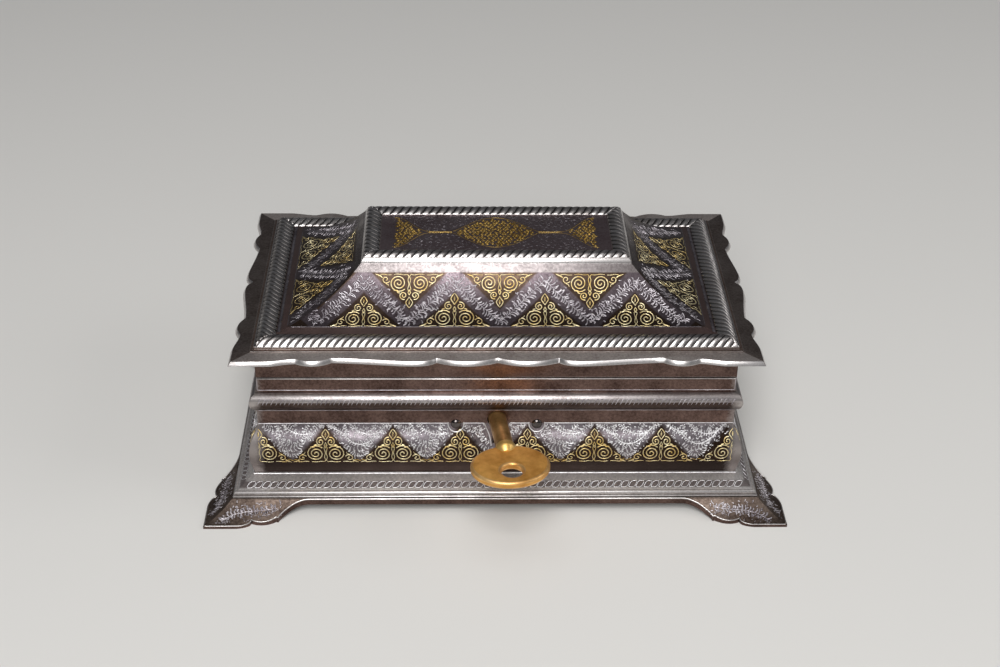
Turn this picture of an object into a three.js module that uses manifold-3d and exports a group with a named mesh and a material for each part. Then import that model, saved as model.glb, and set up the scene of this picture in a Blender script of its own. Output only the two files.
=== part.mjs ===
// Koftgari jewelry box: a small steel casket with a hipped lid on a scalloped flange, roped
// borders, an ogee body on four splayed feet, a box lock with its brass key, and a velvet lining.
import * as THREE from 'three';
import { mergeVertices } from 'three/addons/utils/BufferGeometryUtils.js';
import Module from 'manifold-3d';

const wasm = await Module();
wasm.setup();

// Driving dimensions in millimetres, angles in degrees. X runs along the front, Y goes away from
// the viewer and Z is up. An offset is measured outward from the face of the rim.

// Rim and sheet
const rimLength = 120;
const rimDepth = 67.1;
const wallSheet = 1.4;
const mitreGap = 0.1;
const seamGap = 0.05;
const lidGap = 0.37;
const looseGap = 0.3;

// Heights of the body, from the floor up
const apronHeight = 4.4;
const bevelHeight = 4.25;
const wallHeight = 27.48;

// Ogee wall with its half-round moulding
const rimBand = 3.98;
const torusHeight = 5.09;
const torusProud = 1.85;
const bandOut = 0.3;
const bandHeight = 3.86;
const bellyOut = 2.7;
const bellyHeight = 6.35;
const wallFootOut = 1.7;

// Bevelled base moulding with two beads
const ledgeIn = 4;
const bevelOut = 6;
const bevelDrop = 2.7;
const upperBeadHeight = 0.75;
const beadProud = 0.45;
const lowerBeadOut = 6.7;
const beadGroove = 0.35;

// Splayed skirt and its four feet
const skirtSheet = 1.5;
const skirtTuck = 2;
const flareStart = 7.2;
const footOut = 14;
const footTipHeight = 0.75;
const flareHollow = 1.6;
const apronOut = 7.5;
const footHollow = 12.5;
const footCusp = 4.6;
const footCuspOut = 11;
const footLobe = 6.7;
const footLobeOut = 12.6;
const footSecondCuspOut = 12;
const footToe = 6.6;

// Lid skirt and scalloped flange
const skirtHeight = 6.6;
const flangeSheet = 1.4;
const flangeOut = 5.75;
const flangeIn = 8.5;
const flangeValleyOut = 4.6;
const flangeCuspOut = 4.1;
const smallLobeOut = 5.7;
const cornerLobe = 9;
const cornerHollow = 7.3;
const smallLobe = 8.9;
const middleLobe = 15;
const sideCornerLobe = 6;
const sideHollow = 7;
const sideSmallLobe = 8.3;

// Hipped slopes and platform
const slopeSheet = 1.6;
const slopeStep = 1.5;
const slopeRise = 12.3;
const slopeGrade = 6.5;
const slopeHollow = 3;
const slopeMargin = 0.9;
const slopeLanding = 1;
const platformLength = 68.4;
const platformDepth = 28.5;
const platformSheet = 1.1;

// Roped borders
const ropeSetback = 0.1;
const ropeLip = 0.4;
const ropeLean = 1.3;
const ropeGroove = 0.24;
const lowerRopeWidth = 5.15;
const lowerRopeBase = 1.4;
const lowerRopeCrest = 1.4;
const lowerRopePitch = 1.85;
const upperRopeWidth = 4.8;
const upperRopeBase = 0.5;
const upperRopeCrest = 1.1;
const upperRopePitch = 1.95;

// Hinges
const hingeSpacing = 70;
const hingeWidth = 16;
const hingeKnuckle = 5;
const knuckleRadius = 1.5;
const hingePinRadius = 0.55;
const hingePinGap = 0.2;
const hingeStandOff = 0.9;
const leafSheet = 0.9;

// Bottom plate and velvet lining
const bottomSheet = 1.2;
const liningSheet = 1.5;
const liningPad = 2;
const liningDrop = 0.7;

// Box lock behind the front wall
const lockWidth = 30;
const lockHeight = 18;
const lockDepth = 6.4;
const lockSheet = 0.8;
const lockDrop = 1.1;
const stumpRadius = 0.6;
const rivetSpacing = 20.5;
const rivetDrop = 13.5;
const rivetHeadRadius = 1.3;
const rivetHeadHeight = 0.75;
const rivetShankRadius = 0.6;
const rivetGap = 0.2;

// Bolt and the staple on the lid that it shoots into
const boltThrow = 5;
const boltThick = 2;
const boltHeight = 4;
const boltTail = 9.5;
const boltShoulder = 3.5;
const boltNose = 5;
const boltNoseHeight = 2;
const boltLift = 5;
const talonHalf = 2.8;
const talonDepth = 1.1;
const boltSlotHeight = 1.6;
const stumpOffset = 1.3;
const springThick = 0.3;
const springInset = 1;
const stapleWidth = 10;
const stapleSheet = 1;
const stapleTongue = 1.8;
const stapleDepth = 3;
const stapleFrontGap = 0.8;
const stapleEyeGap = 0.4;
const stapleBoltGap = 0.6;
const stapleBar = 1.2;

// Key, turned with its bow flat and leaning a little to the right
const keyX = 0.15;
const keyDrop = 12.13;
const keyLean = 7.5;
const keyRadius = 2.15;
const keyHoleGap = 0.35;
const keySlotWidth = 2.4;
const keyBitReach = 5.7;
const keyBitThick = 1.3;
const keyBitLength = 2.6;
const keyNoseRadius = 1.2;
const bowDistance = 21.1;
const bowLength = 15.8;
const bowWidth = 19.5;
const bowThick = 2;
const bowEdge = 0.7;
const bowHoleRadius = 2.45;
const bowHoleOffset = 2.6;
const bolsterRadius = 2.7;
const bolsterLength = 1.2;

// Steps along curved outlines
const beadSteps = 7;
const ogeeSteps = 7;
const slopeSteps = 9;
const flareSteps = 8;
const lobeSteps = 6;
const ropeSteps = 4;
const bowSteps = 14;
const roundSides = 18;

// Levels that follow from the heights
const bevelTop = apronHeight + bevelHeight;
const rimTop = bevelTop + wallHeight;
const torusTop = rimTop - rimBand;
const torusBottom = torusTop - torusHeight;
const lidBottom = rimTop + lidGap;
const flangeBottom = lidBottom + skirtHeight;
const flangeTop = flangeBottom + flangeSheet;
const slopeFoot = flangeTop + slopeStep;
const platformBottom = slopeFoot + slopeRise;
const platformTop = platformBottom + platformSheet;

// Plan sizes that follow from the others
const halfLength = rimLength / 2;
const halfDepth = rimDepth / 2;
const slopeIn = ropeSetback + lowerRopeWidth + seamGap;

const steel = new THREE.MeshStandardMaterial({ color: 0x5a4a46, roughness: 0.42, metalness: 0.9 });
const brightSteel = new THREE.MeshStandardMaterial({ color: 0x9a908c, roughness: 0.34, metalness: 0.95 });
const lockSteel = new THREE.MeshStandardMaterial({ color: 0x6e6a68, roughness: 0.5, metalness: 0.9 });
const brass = new THREE.MeshStandardMaterial({ color: 0xb5853a, roughness: 0.36, metalness: 0.95 });
const velvet = new THREE.MeshStandardMaterial({ color: 0x5a1220, roughness: 0.95, metalness: 0 });

const box = new THREE.Group();
const point = (x, y) => new THREE.Vector2(x, y);
const radians = THREE.MathUtils.degToRad;

function part(name, geometry, material, parent = box) {
  const mesh = new THREE.Mesh(geometry, material);
  mesh.name = name;
  parent.add(mesh);
  return mesh;
}

// Solids

// A closed solid from a geometry, with its faces turned outward.
function solid(geometry) {
  const bare = geometry.clone();
  bare.deleteAttribute('normal');
  bare.deleteAttribute('uv');
  const merged = mergeVertices(bare, 1e-4);
  const vertices = merged.attributes.position.array;
  const corners = [0, 1, 2].map(() => new THREE.Vector3());
  const triangles = [];
  let volume = 0;
  for (let i = 0; i < merged.index.count; i += 3) {
    const face = [0, 1, 2].map((k) => merged.index.getX(i + k));
    if (new Set(face).size < 3) continue;
    face.forEach((index, k) => corners[k].fromArray(vertices, index * 3));
    volume += corners[0].dot(corners[1].clone().cross(corners[2]));
    triangles.push(face);
  }
  if (volume < 0) triangles.forEach((face) => face.reverse());
  return new wasm.Manifold(new wasm.Mesh({
    numProp: 3,
    vertProperties: new Float32Array(vertices),
    triVerts: new Uint32Array(triangles.flat()),
  }));
}

function geometryOf(body) {
  const mesh = body.getMesh();
  const geometry = new THREE.BufferGeometry();
  geometry.setAttribute('position', new THREE.BufferAttribute(new Float32Array(mesh.vertProperties), 3));
  geometry.setIndex(Array.from(mesh.triVerts));
  geometry.computeVertexNormals();
  return geometry;
}

const join = (...bodies) => bodies.reduce((whole, body) => whole.add(body));
const cut = (body, ...tools) => tools.reduce((whole, tool) => whole.subtract(tool), body);

function block(low, high) {
  const size = high.map((value, k) => value - low[k]);
  const middle = high.map((value, k) => (value + low[k]) / 2);
  return solid(new THREE.BoxGeometry(...size).translate(...middle));
}

// A plate that stands in the XZ plane, between two places along Y.
function standing(shape, front, back) {
  const flat = new THREE.ExtrudeGeometry(shape, {
    depth: back - front,
    bevelEnabled: false,
    curveSegments: roundSides,
  });
  return solid(flat.rotateX(Math.PI / 2).translate(0, back, 0));
}

// A round bar along X.
function barAlongX(radius, from, to, y, z) {
  const bar = new THREE.CylinderGeometry(radius, radius, to - from, roundSides);
  return solid(bar.rotateZ(Math.PI / 2).translate((from + to) / 2, y, z));
}

// A round bar along Y.
function barAlongY(radius, from, to, x, z) {
  const bar = new THREE.CylinderGeometry(radius, radius, to - from, roundSides);
  return solid(bar.translate(x, (from + to) / 2, z));
}

// Skin over rings of points, the first and last of them closed by caps.
function loft(rings) {
  const count = rings[0].length;
  const faces = [];
  for (let i = 0; i + 1 < rings.length; i += 1) {
    for (let j = 0; j < count; j += 1) {
      const next = (j + 1) % count;
      const here = i * count;
      const there = here + count;
      faces.push(here + j, here + next, there + next, here + j, there + next, there + j);
    }
  }
  const outline = rings[0].map((corner) => point(-corner.y, corner.z));
  const cap = THREE.ShapeUtils.triangulateShape(outline, []);
  const last = (rings.length - 1) * count;
  cap.forEach(([a, b, c]) => {
    faces.push(c, b, a, last + a, last + b, last + c);
  });
  const geometry = new THREE.BufferGeometry();
  const places = rings.flat().flatMap((corner) => [corner.x, corner.y, corner.z]);
  geometry.setAttribute('position', new THREE.Float32BufferAttribute(places, 3));
  geometry.setIndex(faces);
  return solid(geometry);
}

// A strip for the front, with one section all along it and mitred ends. Section points give the
// outward offset and the height, and hip turns an outward offset into the one along the strip.
function mitredStrip(section, side, hip = (offset) => offset) {
  const turned = THREE.ShapeUtils.area(section) > 0 ? section : [...section].reverse();
  const ring = (sign) => turned.map(({ x, y }) => new THREE.Vector3(
    sign * (side.along + hip(x) - mitreGap / 2),
    -(side.across + x),
    y,
  ));
  return loft([ring(1), ring(-1)]);
}

// Rounded bead from one point to another, standing proud on the right-hand side of the way.
function bead(from, to, proud) {
  const way = to.clone().sub(from).normalize();
  const out = point(way.y, -way.x);
  const points = [];
  for (let i = 0; i <= beadSteps; i += 1) {
    const turn = Math.PI * i / beadSteps;
    const place = from.clone().lerp(to, (1 - Math.cos(turn)) / 2);
    points.push(place.addScaledVector(out, proud * Math.sin(turn)));
  }
  return points;
}

const curve = (steps, a, b, c, d) => new THREE.CubicBezierCurve(a, b, c, d).getPoints(steps);

// The four sides of a rectangle. Each strip is made for the front and turned to its side.
function sidesOf(length, depth) {
  return [
    { name: 'front', turn: 0, along: length / 2, across: depth / 2, long: true },
    { name: 'right', turn: Math.PI / 2, along: depth / 2, across: length / 2, long: false },
    { name: 'back', turn: Math.PI, along: length / 2, across: depth / 2, long: true },
    { name: 'left', turn: -Math.PI / 2, along: depth / 2, across: length / 2, long: false },
  ];
}

function fourSides(name, material, sides, make) {
  sides.forEach((side) => {
    part(`${name}_${side.name}`, geometryOf(make(side)), material).rotation.z = side.turn;
  });
}

const rimSides = sidesOf(rimLength, rimDepth);
const platformSides = sidesOf(platformLength, platformDepth);
const [frontSide] = rimSides;

// Lock and key places

const keyZ = rimTop - keyDrop;
const wallBack = -(halfDepth - wallSheet);
const lockFront = wallBack + seamGap;
const lockBack = lockFront + lockDepth;
const lockTop = rimTop - lockDrop;
const lockBottom = lockTop - lockHeight;
const keyWall = -(halfDepth + bandOut - wallSheet / 2);
const keyPathX = (y) => keyX - (y - keyWall) * Math.tan(radians(keyLean));
const rivetZ = rimTop - rivetDrop;

// Keyhole with a round head and a straight slot for the bit.
function keyholeShape(x) {
  const radius = keyRadius + keyHoleGap;
  const half = keySlotWidth / 2;
  const bottom = keyZ - keyBitReach - looseGap;
  const opening = Math.asin(half / radius);
  const shape = new THREE.Shape();
  shape.moveTo(x - half, bottom);
  shape.lineTo(x + half, bottom);
  shape.absarc(x, keyZ, radius, opening - Math.PI / 2, 1.5 * Math.PI - opening, false);
  return shape;
}

// Body walls

// Outer face of a wall, from the rim down to the base moulding.
function wallFace() {
  const neck = torusBottom - bandHeight;
  const belly = bevelTop + bellyHeight;
  const swell = (neck - belly) / 3;
  const tuck = bellyHeight / 3;
  return [
    point(bandOut, torusBottom - seamGap),
    ...curve(
      ogeeSteps,
      point(bandOut, neck),
      point(bandOut, neck - swell),
      point(bellyOut, belly + 1.5 * swell),
      point(bellyOut, belly),
    ),
    ...curve(
      ogeeSteps,
      point(bellyOut, belly),
      point(bellyOut, belly - tuck),
      point((bellyOut + wallFootOut) / 2, bevelTop + tuck),
      point(wallFootOut, bevelTop),
    ).slice(1),
  ];
}

function wall(side) {
  const face = wallFace();
  const back = face.map(({ x, y }) => point(x - wallSheet, y)).reverse();
  const section = [
    point(0, rimTop),
    point(0, torusBottom - seamGap),
    ...face,
    ...back,
    point(-wallSheet, torusBottom - seamGap),
    point(-wallSheet, rimTop),
  ];
  return mitredStrip(section, side);
}

// Openings for the two hinges, on each side of the rim gap.
function hingeNotches(side, low, high) {
  const half = hingeWidth / 2 + looseGap;
  return [-1, 1].map((sign) => block(
    [sign * hingeSpacing / 2 - half, -side.across - wallSheet, low],
    [sign * hingeSpacing / 2 + half, -side.across + 2 * wallSheet, high],
  ));
}

const hingeZ = (rimTop + lidBottom) / 2;
const notchReach = knuckleRadius + looseGap;

function finishedWall(side) {
  const bare = wall(side);
  if (side.name === 'front') {
    const front = -(halfDepth + bellyOut + looseGap);
    const rivetBores = [-1, 1].map((sign) => barAlongY(
      rivetShankRadius + rivetGap, front, wallBack + wallSheet, sign * rivetSpacing / 2, rivetZ,
    ));
    return cut(bare, standing(keyholeShape(keyX), front, wallBack + wallSheet), ...rivetBores);
  }
  if (side.name === 'back') return cut(bare, ...hingeNotches(side, hingeZ - notchReach, rimTop + wallSheet));
  return bare;
}

fourSides('wall', steel, rimSides, finishedWall);

fourSides('torus_moulding', steel, rimSides, (side) => mitredStrip(
  bead(point(seamGap, torusBottom), point(seamGap, torusTop), torusProud),
  side,
));

// Base moulding: an inner ledge for the walls and bottom plate, a bevel and two beads.
fourSides('base_moulding', steel, rimSides, (side) => {
  const bevelFoot = bevelTop - bevelDrop;
  const beadFoot = bevelFoot - upperBeadHeight;
  const underside = bevelTop - wallSheet;
  const section = [
    point(-ledgeIn, bevelTop),
    point(-ledgeIn, underside),
    point(-wallSheet, underside),
    point(skirtTuck, apronHeight),
    ...bead(point(lowerBeadOut, apronHeight), point(lowerBeadOut, beadFoot), beadProud),
    point(lowerBeadOut - beadGroove, beadFoot),
    ...bead(point(lowerBeadOut - beadGroove, beadFoot), point(bevelOut, bevelFoot), beadProud).slice(1),
    point(wallFootOut + looseGap, bevelTop),
  ];
  return mitredStrip(section, side);
});

// Skirt and feet

function flareZ(offset) {
  const left = Math.max(0, footOut - offset) / (footOut - flareStart);
  return footTipHeight + (apronHeight - footTipHeight) * Math.min(1, left) ** flareHollow;
}

// Plan of what is cut away between two feet, with a cusp and a lobe at each foot.
function footOutline(side) {
  const corner = side.along;
  const hollow = new THREE.QuadraticBezierCurve(
    point(corner - footHollow, apronOut),
    point(corner - (footHollow + footCusp) / 2, apronOut),
    point(corner - footCusp, footCuspOut),
  );
  const lobe = new THREE.QuadraticBezierCurve(
    point(corner - footCusp, footCuspOut),
    point(corner - footCusp + footLobe / 2, 2 * footLobeOut - (footCuspOut + footSecondCuspOut) / 2),
    point(corner - footCusp + footLobe, footSecondCuspOut),
  );
  const toeStart = corner - footCusp + footLobe;
  const toe = new THREE.QuadraticBezierCurve(
    point(toeStart, footSecondCuspOut),
    point(toeStart, footOut),
    point(toeStart + footToe, footOut + looseGap),
  );
  return [
    ...hollow.getPoints(lobeSteps),
    ...lobe.getPoints(lobeSteps).slice(1),
    ...toe.getPoints(lobeSteps).slice(1),
    point(toeStart + footToe, footOut + 2 * looseGap),
  ];
}

fourSides('foot_skirt', brightSteel, rimSides, (side) => {
  const top = [];
  for (let i = 0; i <= flareSteps; i += 1) {
    const offset = THREE.MathUtils.lerp(flareStart, footOut, i / flareSteps);
    top.push(point(offset, flareZ(offset)));
  }
  const bottom = top.map(({ x, y }) => point(x, Math.max(0, y - skirtSheet))).reverse();
  const section = [
    point(skirtTuck, apronHeight),
    ...top,
    ...bottom,
    point(skirtTuck, apronHeight - skirtSheet),
  ];
  const right = footOutline(side).map(({ x, y }) => point(x, -(side.across + y)));
  const left = right.map(({ x, y }) => point(-x, y)).reverse();
  const gap = new THREE.ExtrudeGeometry(new THREE.Shape([...left, ...right]), {
    depth: apronHeight + 2 * looseGap,
    bevelEnabled: false,
  });
  return cut(mitredStrip(section, side), solid(gap.translate(0, 0, -looseGap)));
});

part('bottom_plate', geometryOf(block(
  [-(halfLength + wallFootOut - wallSheet - looseGap), -(halfDepth + wallFootOut - wallSheet - looseGap), bevelTop],
  [halfLength + wallFootOut - wallSheet - looseGap, halfDepth + wallFootOut - wallSheet - looseGap, bevelTop + bottomSheet],
)), lockSteel);

// Lid

fourSides('lid_skirt', steel, rimSides, (side) => {
  const strip = mitredStrip([
    point(0, lidBottom),
    point(0, flangeBottom),
    point(-wallSheet, flangeBottom),
    point(-wallSheet, lidBottom),
  ], side);
  if (side.name !== 'back') return strip;
  return cut(strip, ...hingeNotches(side, lidBottom - wallSheet, hingeZ + notchReach));
});

// Lobe of the flange between two cusps, rising to a crest.
function lobe(from, to, crest) {
  const rise = 2 * crest - (from.y + to.y) / 2;
  const middle = point((from.x + to.x) / 2, rise);
  return new THREE.QuadraticBezierCurve(from, middle, to).getPoints(lobeSteps);
}

// Scalloped edge of the flange, from its middle to one corner.
function scallops(side) {
  const corner = side.along + flangeOut;
  const cornerEnd = corner - (side.long ? cornerLobe : sideCornerLobe);
  const valley = cornerEnd - (side.long ? cornerHollow : sideHollow);
  const smallEnd = valley - (side.long ? smallLobe : sideSmallLobe);
  const middleEnd = side.long ? middleLobe : 0;
  const lean = (smallEnd - middleEnd) / 3;
  const long = curve(
    lobeSteps,
    point(middleEnd, flangeCuspOut),
    point(middleEnd + lean / 3, 2 * flangeOut - flangeCuspOut),
    point(middleEnd + 1.5 * lean, flangeValleyOut),
    point(smallEnd, flangeCuspOut),
  );
  const small = lobe(point(smallEnd, flangeCuspOut), point(valley, flangeValleyOut), smallLobeOut);
  const hollow = curve(
    lobeSteps,
    point(valley, flangeValleyOut),
    point(valley + cornerHollow / 3, flangeValleyOut),
    point(cornerEnd - cornerHollow / 3, flangeOut),
    point(cornerEnd, flangeOut),
  );
  const middle = side.long ? lobe(point(0, flangeCuspOut), point(middleEnd, flangeCuspOut), flangeOut) : long.slice(0, 1);
  return [...middle, ...long.slice(1), ...small.slice(1), ...hollow.slice(1), point(corner - mitreGap / 2, flangeOut)];
}

fourSides('lid_flange', brightSteel, rimSides, (side) => {
  const right = scallops(side).map(({ x, y }) => point(x, -(side.across + y)));
  const left = right.slice(1).map(({ x, y }) => point(-x, y)).reverse();
  const inner = side.along - flangeIn - mitreGap / 2;
  const shape = new THREE.Shape([
    ...left,
    ...right,
    point(inner, flangeIn - side.across),
    point(-inner, flangeIn - side.across),
  ]);
  const plate = new THREE.ExtrudeGeometry(shape, { depth: flangeSheet, bevelEnabled: false });
  return solid(plate.translate(0, 0, flangeBottom));
});

// Roped moulding: leaning strands across a half-round bar on a flat base, between two lips.
function ropeMoulding(side, { outer, width, bottom, base, crest, pitch }) {
  const inner = outer - width;
  const bar = mitredStrip([
    point(inner, bottom),
    point(outer, bottom),
    point(outer, bottom + base),
    point(inner, bottom + base),
  ], side);
  const half = width / 2 - ropeLip;
  const centre = (inner + outer) / 2;
  const root = bottom + base;
  const strands = Math.ceil((side.along + outer + ropeLean + pitch) / pitch);
  const rings = [];
  for (let i = 2 * strands; i >= -2 * strands; i -= 1) {
    const size = i % 2 === 0 ? 1 : 1 - ropeGroove;
    const ring = [];
    for (let j = 0; j <= ropeSteps; j += 1) {
      const turn = Math.PI * j / ropeSteps;
      const offset = centre + half * Math.cos(turn);
      const x = i * pitch / 2 - ropeLean * Math.cos(turn);
      ring.push(new THREE.Vector3(x, -(side.across + offset), root + crest * size * Math.sin(turn)));
    }
    rings.push(ring);
  }
  const trim = mitredStrip([
    point(inner - width, bottom - base),
    point(outer + width, bottom - base),
    point(outer + width, bottom + base + 2 * crest),
    point(inner - width, bottom + base + 2 * crest),
  ], side);
  return join(bar, loft(rings)).intersect(trim);
}

fourSides('lower_rope', brightSteel, rimSides, (side) => ropeMoulding(side, {
  outer: -ropeSetback,
  width: lowerRopeWidth,
  bottom: flangeTop,
  base: lowerRopeBase,
  crest: lowerRopeCrest,
  pitch: lowerRopePitch,
}));

// Height of a slope at a share of its way from the rope to the platform.
const slopeZ = (share) => slopeFoot + slopeGrade * share + (slopeRise - slopeGrade) * share ** slopeHollow;

fourSides('lid_slope', steel, rimSides, (side) => {
  const top = platformSides.find(({ name }) => name === side.name);
  const run = side.across - slopeIn - top.across;
  const alongRun = side.along - slopeIn - top.along;
  const margin = slopeMargin / run;
  const face = [point(0, flangeTop), point(0, slopeFoot)];
  const back = [point(margin + slopeSheet / run, flangeTop)];
  for (let i = 0; i <= slopeSteps; i += 1) {
    const share = i / slopeSteps;
    const height = slopeFoot + (slopeZ(share) - slopeFoot) * Math.min(1, share / margin);
    face.push(point(share, height));
    if (height - slopeSheet > flangeTop + seamGap) back.push(point(share, height - slopeSheet));
  }
  const landing = 1 + slopeLanding / run;
  face.push(point(landing, platformBottom));
  back.push(point(landing, platformBottom - slopeSheet));
  const section = [...face.slice(0, 2), ...face.slice(3), ...back.reverse()];
  const offsets = section.map(({ x, y }) => point(-slopeIn - x * run, y));
  return mitredStrip(offsets, side, (offset) => (offset + slopeIn) * alongRun / run - slopeIn);
});

part('top_plate', geometryOf(block(
  [-platformLength / 2, -platformDepth / 2, platformBottom],
  [platformLength / 2, platformDepth / 2, platformTop],
)), steel);

fourSides('upper_rope', brightSteel, platformSides, (side) => ropeMoulding(side, {
  outer: 0,
  width: upperRopeWidth,
  bottom: platformTop,
  base: upperRopeBase,
  crest: upperRopeCrest,
  pitch: upperRopePitch,
}));

// Hinges: the leaves lie inside, and the knuckles show in the rim gap at the back.

const hingeY = halfDepth + hingeStandOff;
const leafBack = halfDepth - wallSheet - seamGap;
const leafFront = leafBack - leafSheet;
const knuckleHalf = hingeKnuckle / 2;
const hingeHalf = hingeWidth / 2;
const leafHeight = flangeBottom - looseGap - hingeZ - knuckleRadius;

// One leaf: a plate, and webs that carry its knuckles through the notch.
function hingeLeaf(x, direction, knuckles) {
  const webFar = hingeZ + direction * knuckleRadius;
  const webNear = webFar - direction * leafSheet;
  const plateEnd = webFar + direction * leafHeight;
  const heights = (a, b) => [Math.min(a, b), Math.max(a, b)];
  const [plateLow, plateHigh] = heights(webNear, plateEnd);
  const [webLow, webHigh] = heights(webNear, webFar);
  const pieces = [block([x - hingeHalf, leafFront, plateLow], [x + hingeHalf, leafBack, plateHigh])];
  const bores = [];
  knuckles.forEach(([from, to]) => {
    pieces.push(block([x + from, leafFront, webLow], [x + to, hingeY, webHigh]));
    pieces.push(barAlongX(knuckleRadius, x + from, x + to, hingeY, hingeZ));
  });
  bores.push(barAlongX(hingePinRadius + hingePinGap, x - hingeWidth, x + hingeWidth, hingeY, hingeZ));
  return cut(join(...pieces), ...bores);
}

[['left', -1], ['right', 1]].forEach(([name, sign]) => {
  const x = sign * hingeSpacing / 2;
  const outerKnuckles = [[-hingeHalf, -knuckleHalf - looseGap], [knuckleHalf + looseGap, hingeHalf]];
  part(`hinge_leaf_base_${name}`, geometryOf(hingeLeaf(x, -1, outerKnuckles)), lockSteel);
  part(`hinge_leaf_lid_${name}`, geometryOf(hingeLeaf(x, 1, [[-knuckleHalf, knuckleHalf]])), lockSteel);
  const pin = barAlongX(hingePinRadius, x - hingeHalf - hingePinGap, x + hingeHalf + hingePinGap, hingeY, hingeZ);
  part(`hinge_pin_${name}`, geometryOf(pin), lockSteel);
});

// Velvet lining: boards on the walls and a pad on the bottom plate

const liningOut = wallSheet + looseGap;
const liningIn = liningOut + liningSheet;
const liningFoot = bevelTop + bottomSheet + looseGap;
const liningTop = rimTop - liningDrop;

part('lining_floor', geometryOf(block(
  [liningIn + looseGap - halfLength, liningIn + looseGap - halfDepth, liningFoot],
  [halfLength - liningIn - looseGap, halfDepth - liningIn - looseGap, liningFoot + liningPad],
)), velvet);

fourSides('lining', velvet, rimSides, (side) => {
  const half = side.long ? side.along - liningOut : side.along - liningIn - looseGap;
  const board = block([-half, liningOut - side.across, liningFoot], [half, liningIn - side.across, liningTop]);
  if (side.name === 'front') {
    const room = lockWidth / 2 + looseGap;
    return cut(board, block(
      [-room, -side.across, lockBottom - looseGap],
      [room, liningIn + looseGap - side.across, rimTop],
    ));
  }
  if (side.name === 'back') {
    const room = hingeHalf + looseGap;
    const low = hingeZ - knuckleRadius - leafHeight - looseGap;
    return cut(board, ...[-1, 1].map((sign) => block(
      [sign * hingeSpacing / 2 - room, -side.across, low],
      [sign * hingeSpacing / 2 + room, liningIn + looseGap - side.across, rimTop],
    )));
  }
  return board;
});

// Lock

const capFront = lockFront + lockSheet;
const boltFront = capFront + looseGap;
const boltBack = boltFront + boltThick;
const bitFront = capFront + looseGap + keyBitReach * Math.sin(radians(keyLean));
const boltX = keyPathX(bitFront + keyBitLength / 2);
const boltBottom = keyZ + boltLift;
const boltTop = boltBottom + boltHeight;
const slotZ = boltBottom + talonDepth + (boltHeight - talonDepth) / 2;
const stumpX = boltX + stumpOffset;
const tongueLow = boltX + boltShoulder + boltNose + stapleBoltGap;
const tongueHigh = tongueLow + stapleTongue;
const tongueFront = capFront + stapleFrontGap;
const tongueBack = tongueFront + stapleDepth;
const noseZ = (boltBottom + boltTop) / 2;

const lockPlate = cut(
  join(
    block([-lockWidth / 2, lockFront, lockBottom], [lockWidth / 2, capFront, lockTop]),
    barAlongY(stumpRadius, lockFront + lockSheet / 2, boltBack + looseGap, stumpX, slotZ),
  ),
  standing(keyholeShape(keyPathX(lockFront + lockSheet / 2)), lockFront - lockSheet, capFront + looseGap),
  ...[-1, 1].map((sign) => barAlongY(
    rivetShankRadius + rivetGap, lockFront - lockSheet, capFront + looseGap, sign * rivetSpacing / 2, rivetZ,
  )),
);
part('lock_plate', geometryOf(lockPlate), lockSteel);

const capInner = lockWidth / 2 - lockSheet;
const lockCap = cut(
  block([-lockWidth / 2, capFront, lockBottom], [lockWidth / 2, lockBack, lockTop]),
  block(
    [-capInner, capFront - lockSheet, lockBottom + lockSheet],
    [capInner, lockBack - lockSheet, lockTop - lockSheet],
  ),
  block(
    [tongueLow - looseGap, capFront - lockSheet, lockTop - 2 * lockSheet],
    [tongueHigh + looseGap, tongueBack + looseGap, lockTop + lockSheet],
  ),
  barAlongY(keyNoseRadius + keyHoleGap, lockBack - 2 * lockSheet, lockBack + lockSheet, keyPathX(lockBack), keyZ),
);
part('lock_cap', geometryOf(lockCap), lockSteel);

// The bolt, drawn back: its talon takes the bit and its slot runs on the stump of the plate.
function boltShape() {
  const talon = boltX - boltThrow / 2;
  const nose = boltNoseHeight / 2;
  const shape = new THREE.Shape();
  shape.moveTo(boltX - boltTail, boltBottom);
  shape.lineTo(talon - talonHalf, boltBottom);
  shape.lineTo(talon - talonHalf, boltBottom + talonDepth);
  shape.lineTo(talon + talonHalf, boltBottom + talonDepth);
  shape.lineTo(talon + talonHalf, boltBottom);
  shape.lineTo(boltX + boltShoulder, boltBottom);
  shape.lineTo(boltX + boltShoulder, noseZ - nose);
  shape.lineTo(boltX + boltShoulder + boltNose, noseZ - nose);
  shape.lineTo(boltX + boltShoulder + boltNose, noseZ + nose);
  shape.lineTo(boltX + boltShoulder, noseZ + nose);
  shape.lineTo(boltX + boltShoulder, boltTop);
  shape.lineTo(boltX - boltTail, boltTop);
  const reach = boltSlotHeight / 2;
  const slot = new THREE.Path();
  slot.absarc(stumpX, slotZ, reach, -Math.PI / 2, Math.PI / 2, false);
  slot.absarc(stumpX - boltThrow, slotZ, reach, Math.PI / 2, 1.5 * Math.PI, false);
  shape.holes.push(slot);
  return shape;
}
part('bolt', geometryOf(standing(boltShape(), boltFront, boltBack)), brass);

// Bowed leaf spring between the top of the cap and the bolt.
function springShape() {
  const left = boltX - boltTail;
  const right = boltX + boltShoulder - springInset;
  const high = lockTop - lockSheet - seamGap;
  const sag = high - springThick - boltTop - seamGap;
  const under = new THREE.QuadraticBezierCurve(
    point(left, high - springThick),
    point((left + right) / 2, high - springThick - 2 * sag),
    point(right, high - springThick),
  ).getPoints(ogeeSteps);
  const over = under.map(({ x, y }) => point(x, y + springThick)).reverse();
  return new THREE.Shape([...under, ...over]);
}
part('bolt_spring', geometryOf(standing(springShape(), boltFront, boltBack)), brightSteel);

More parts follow.
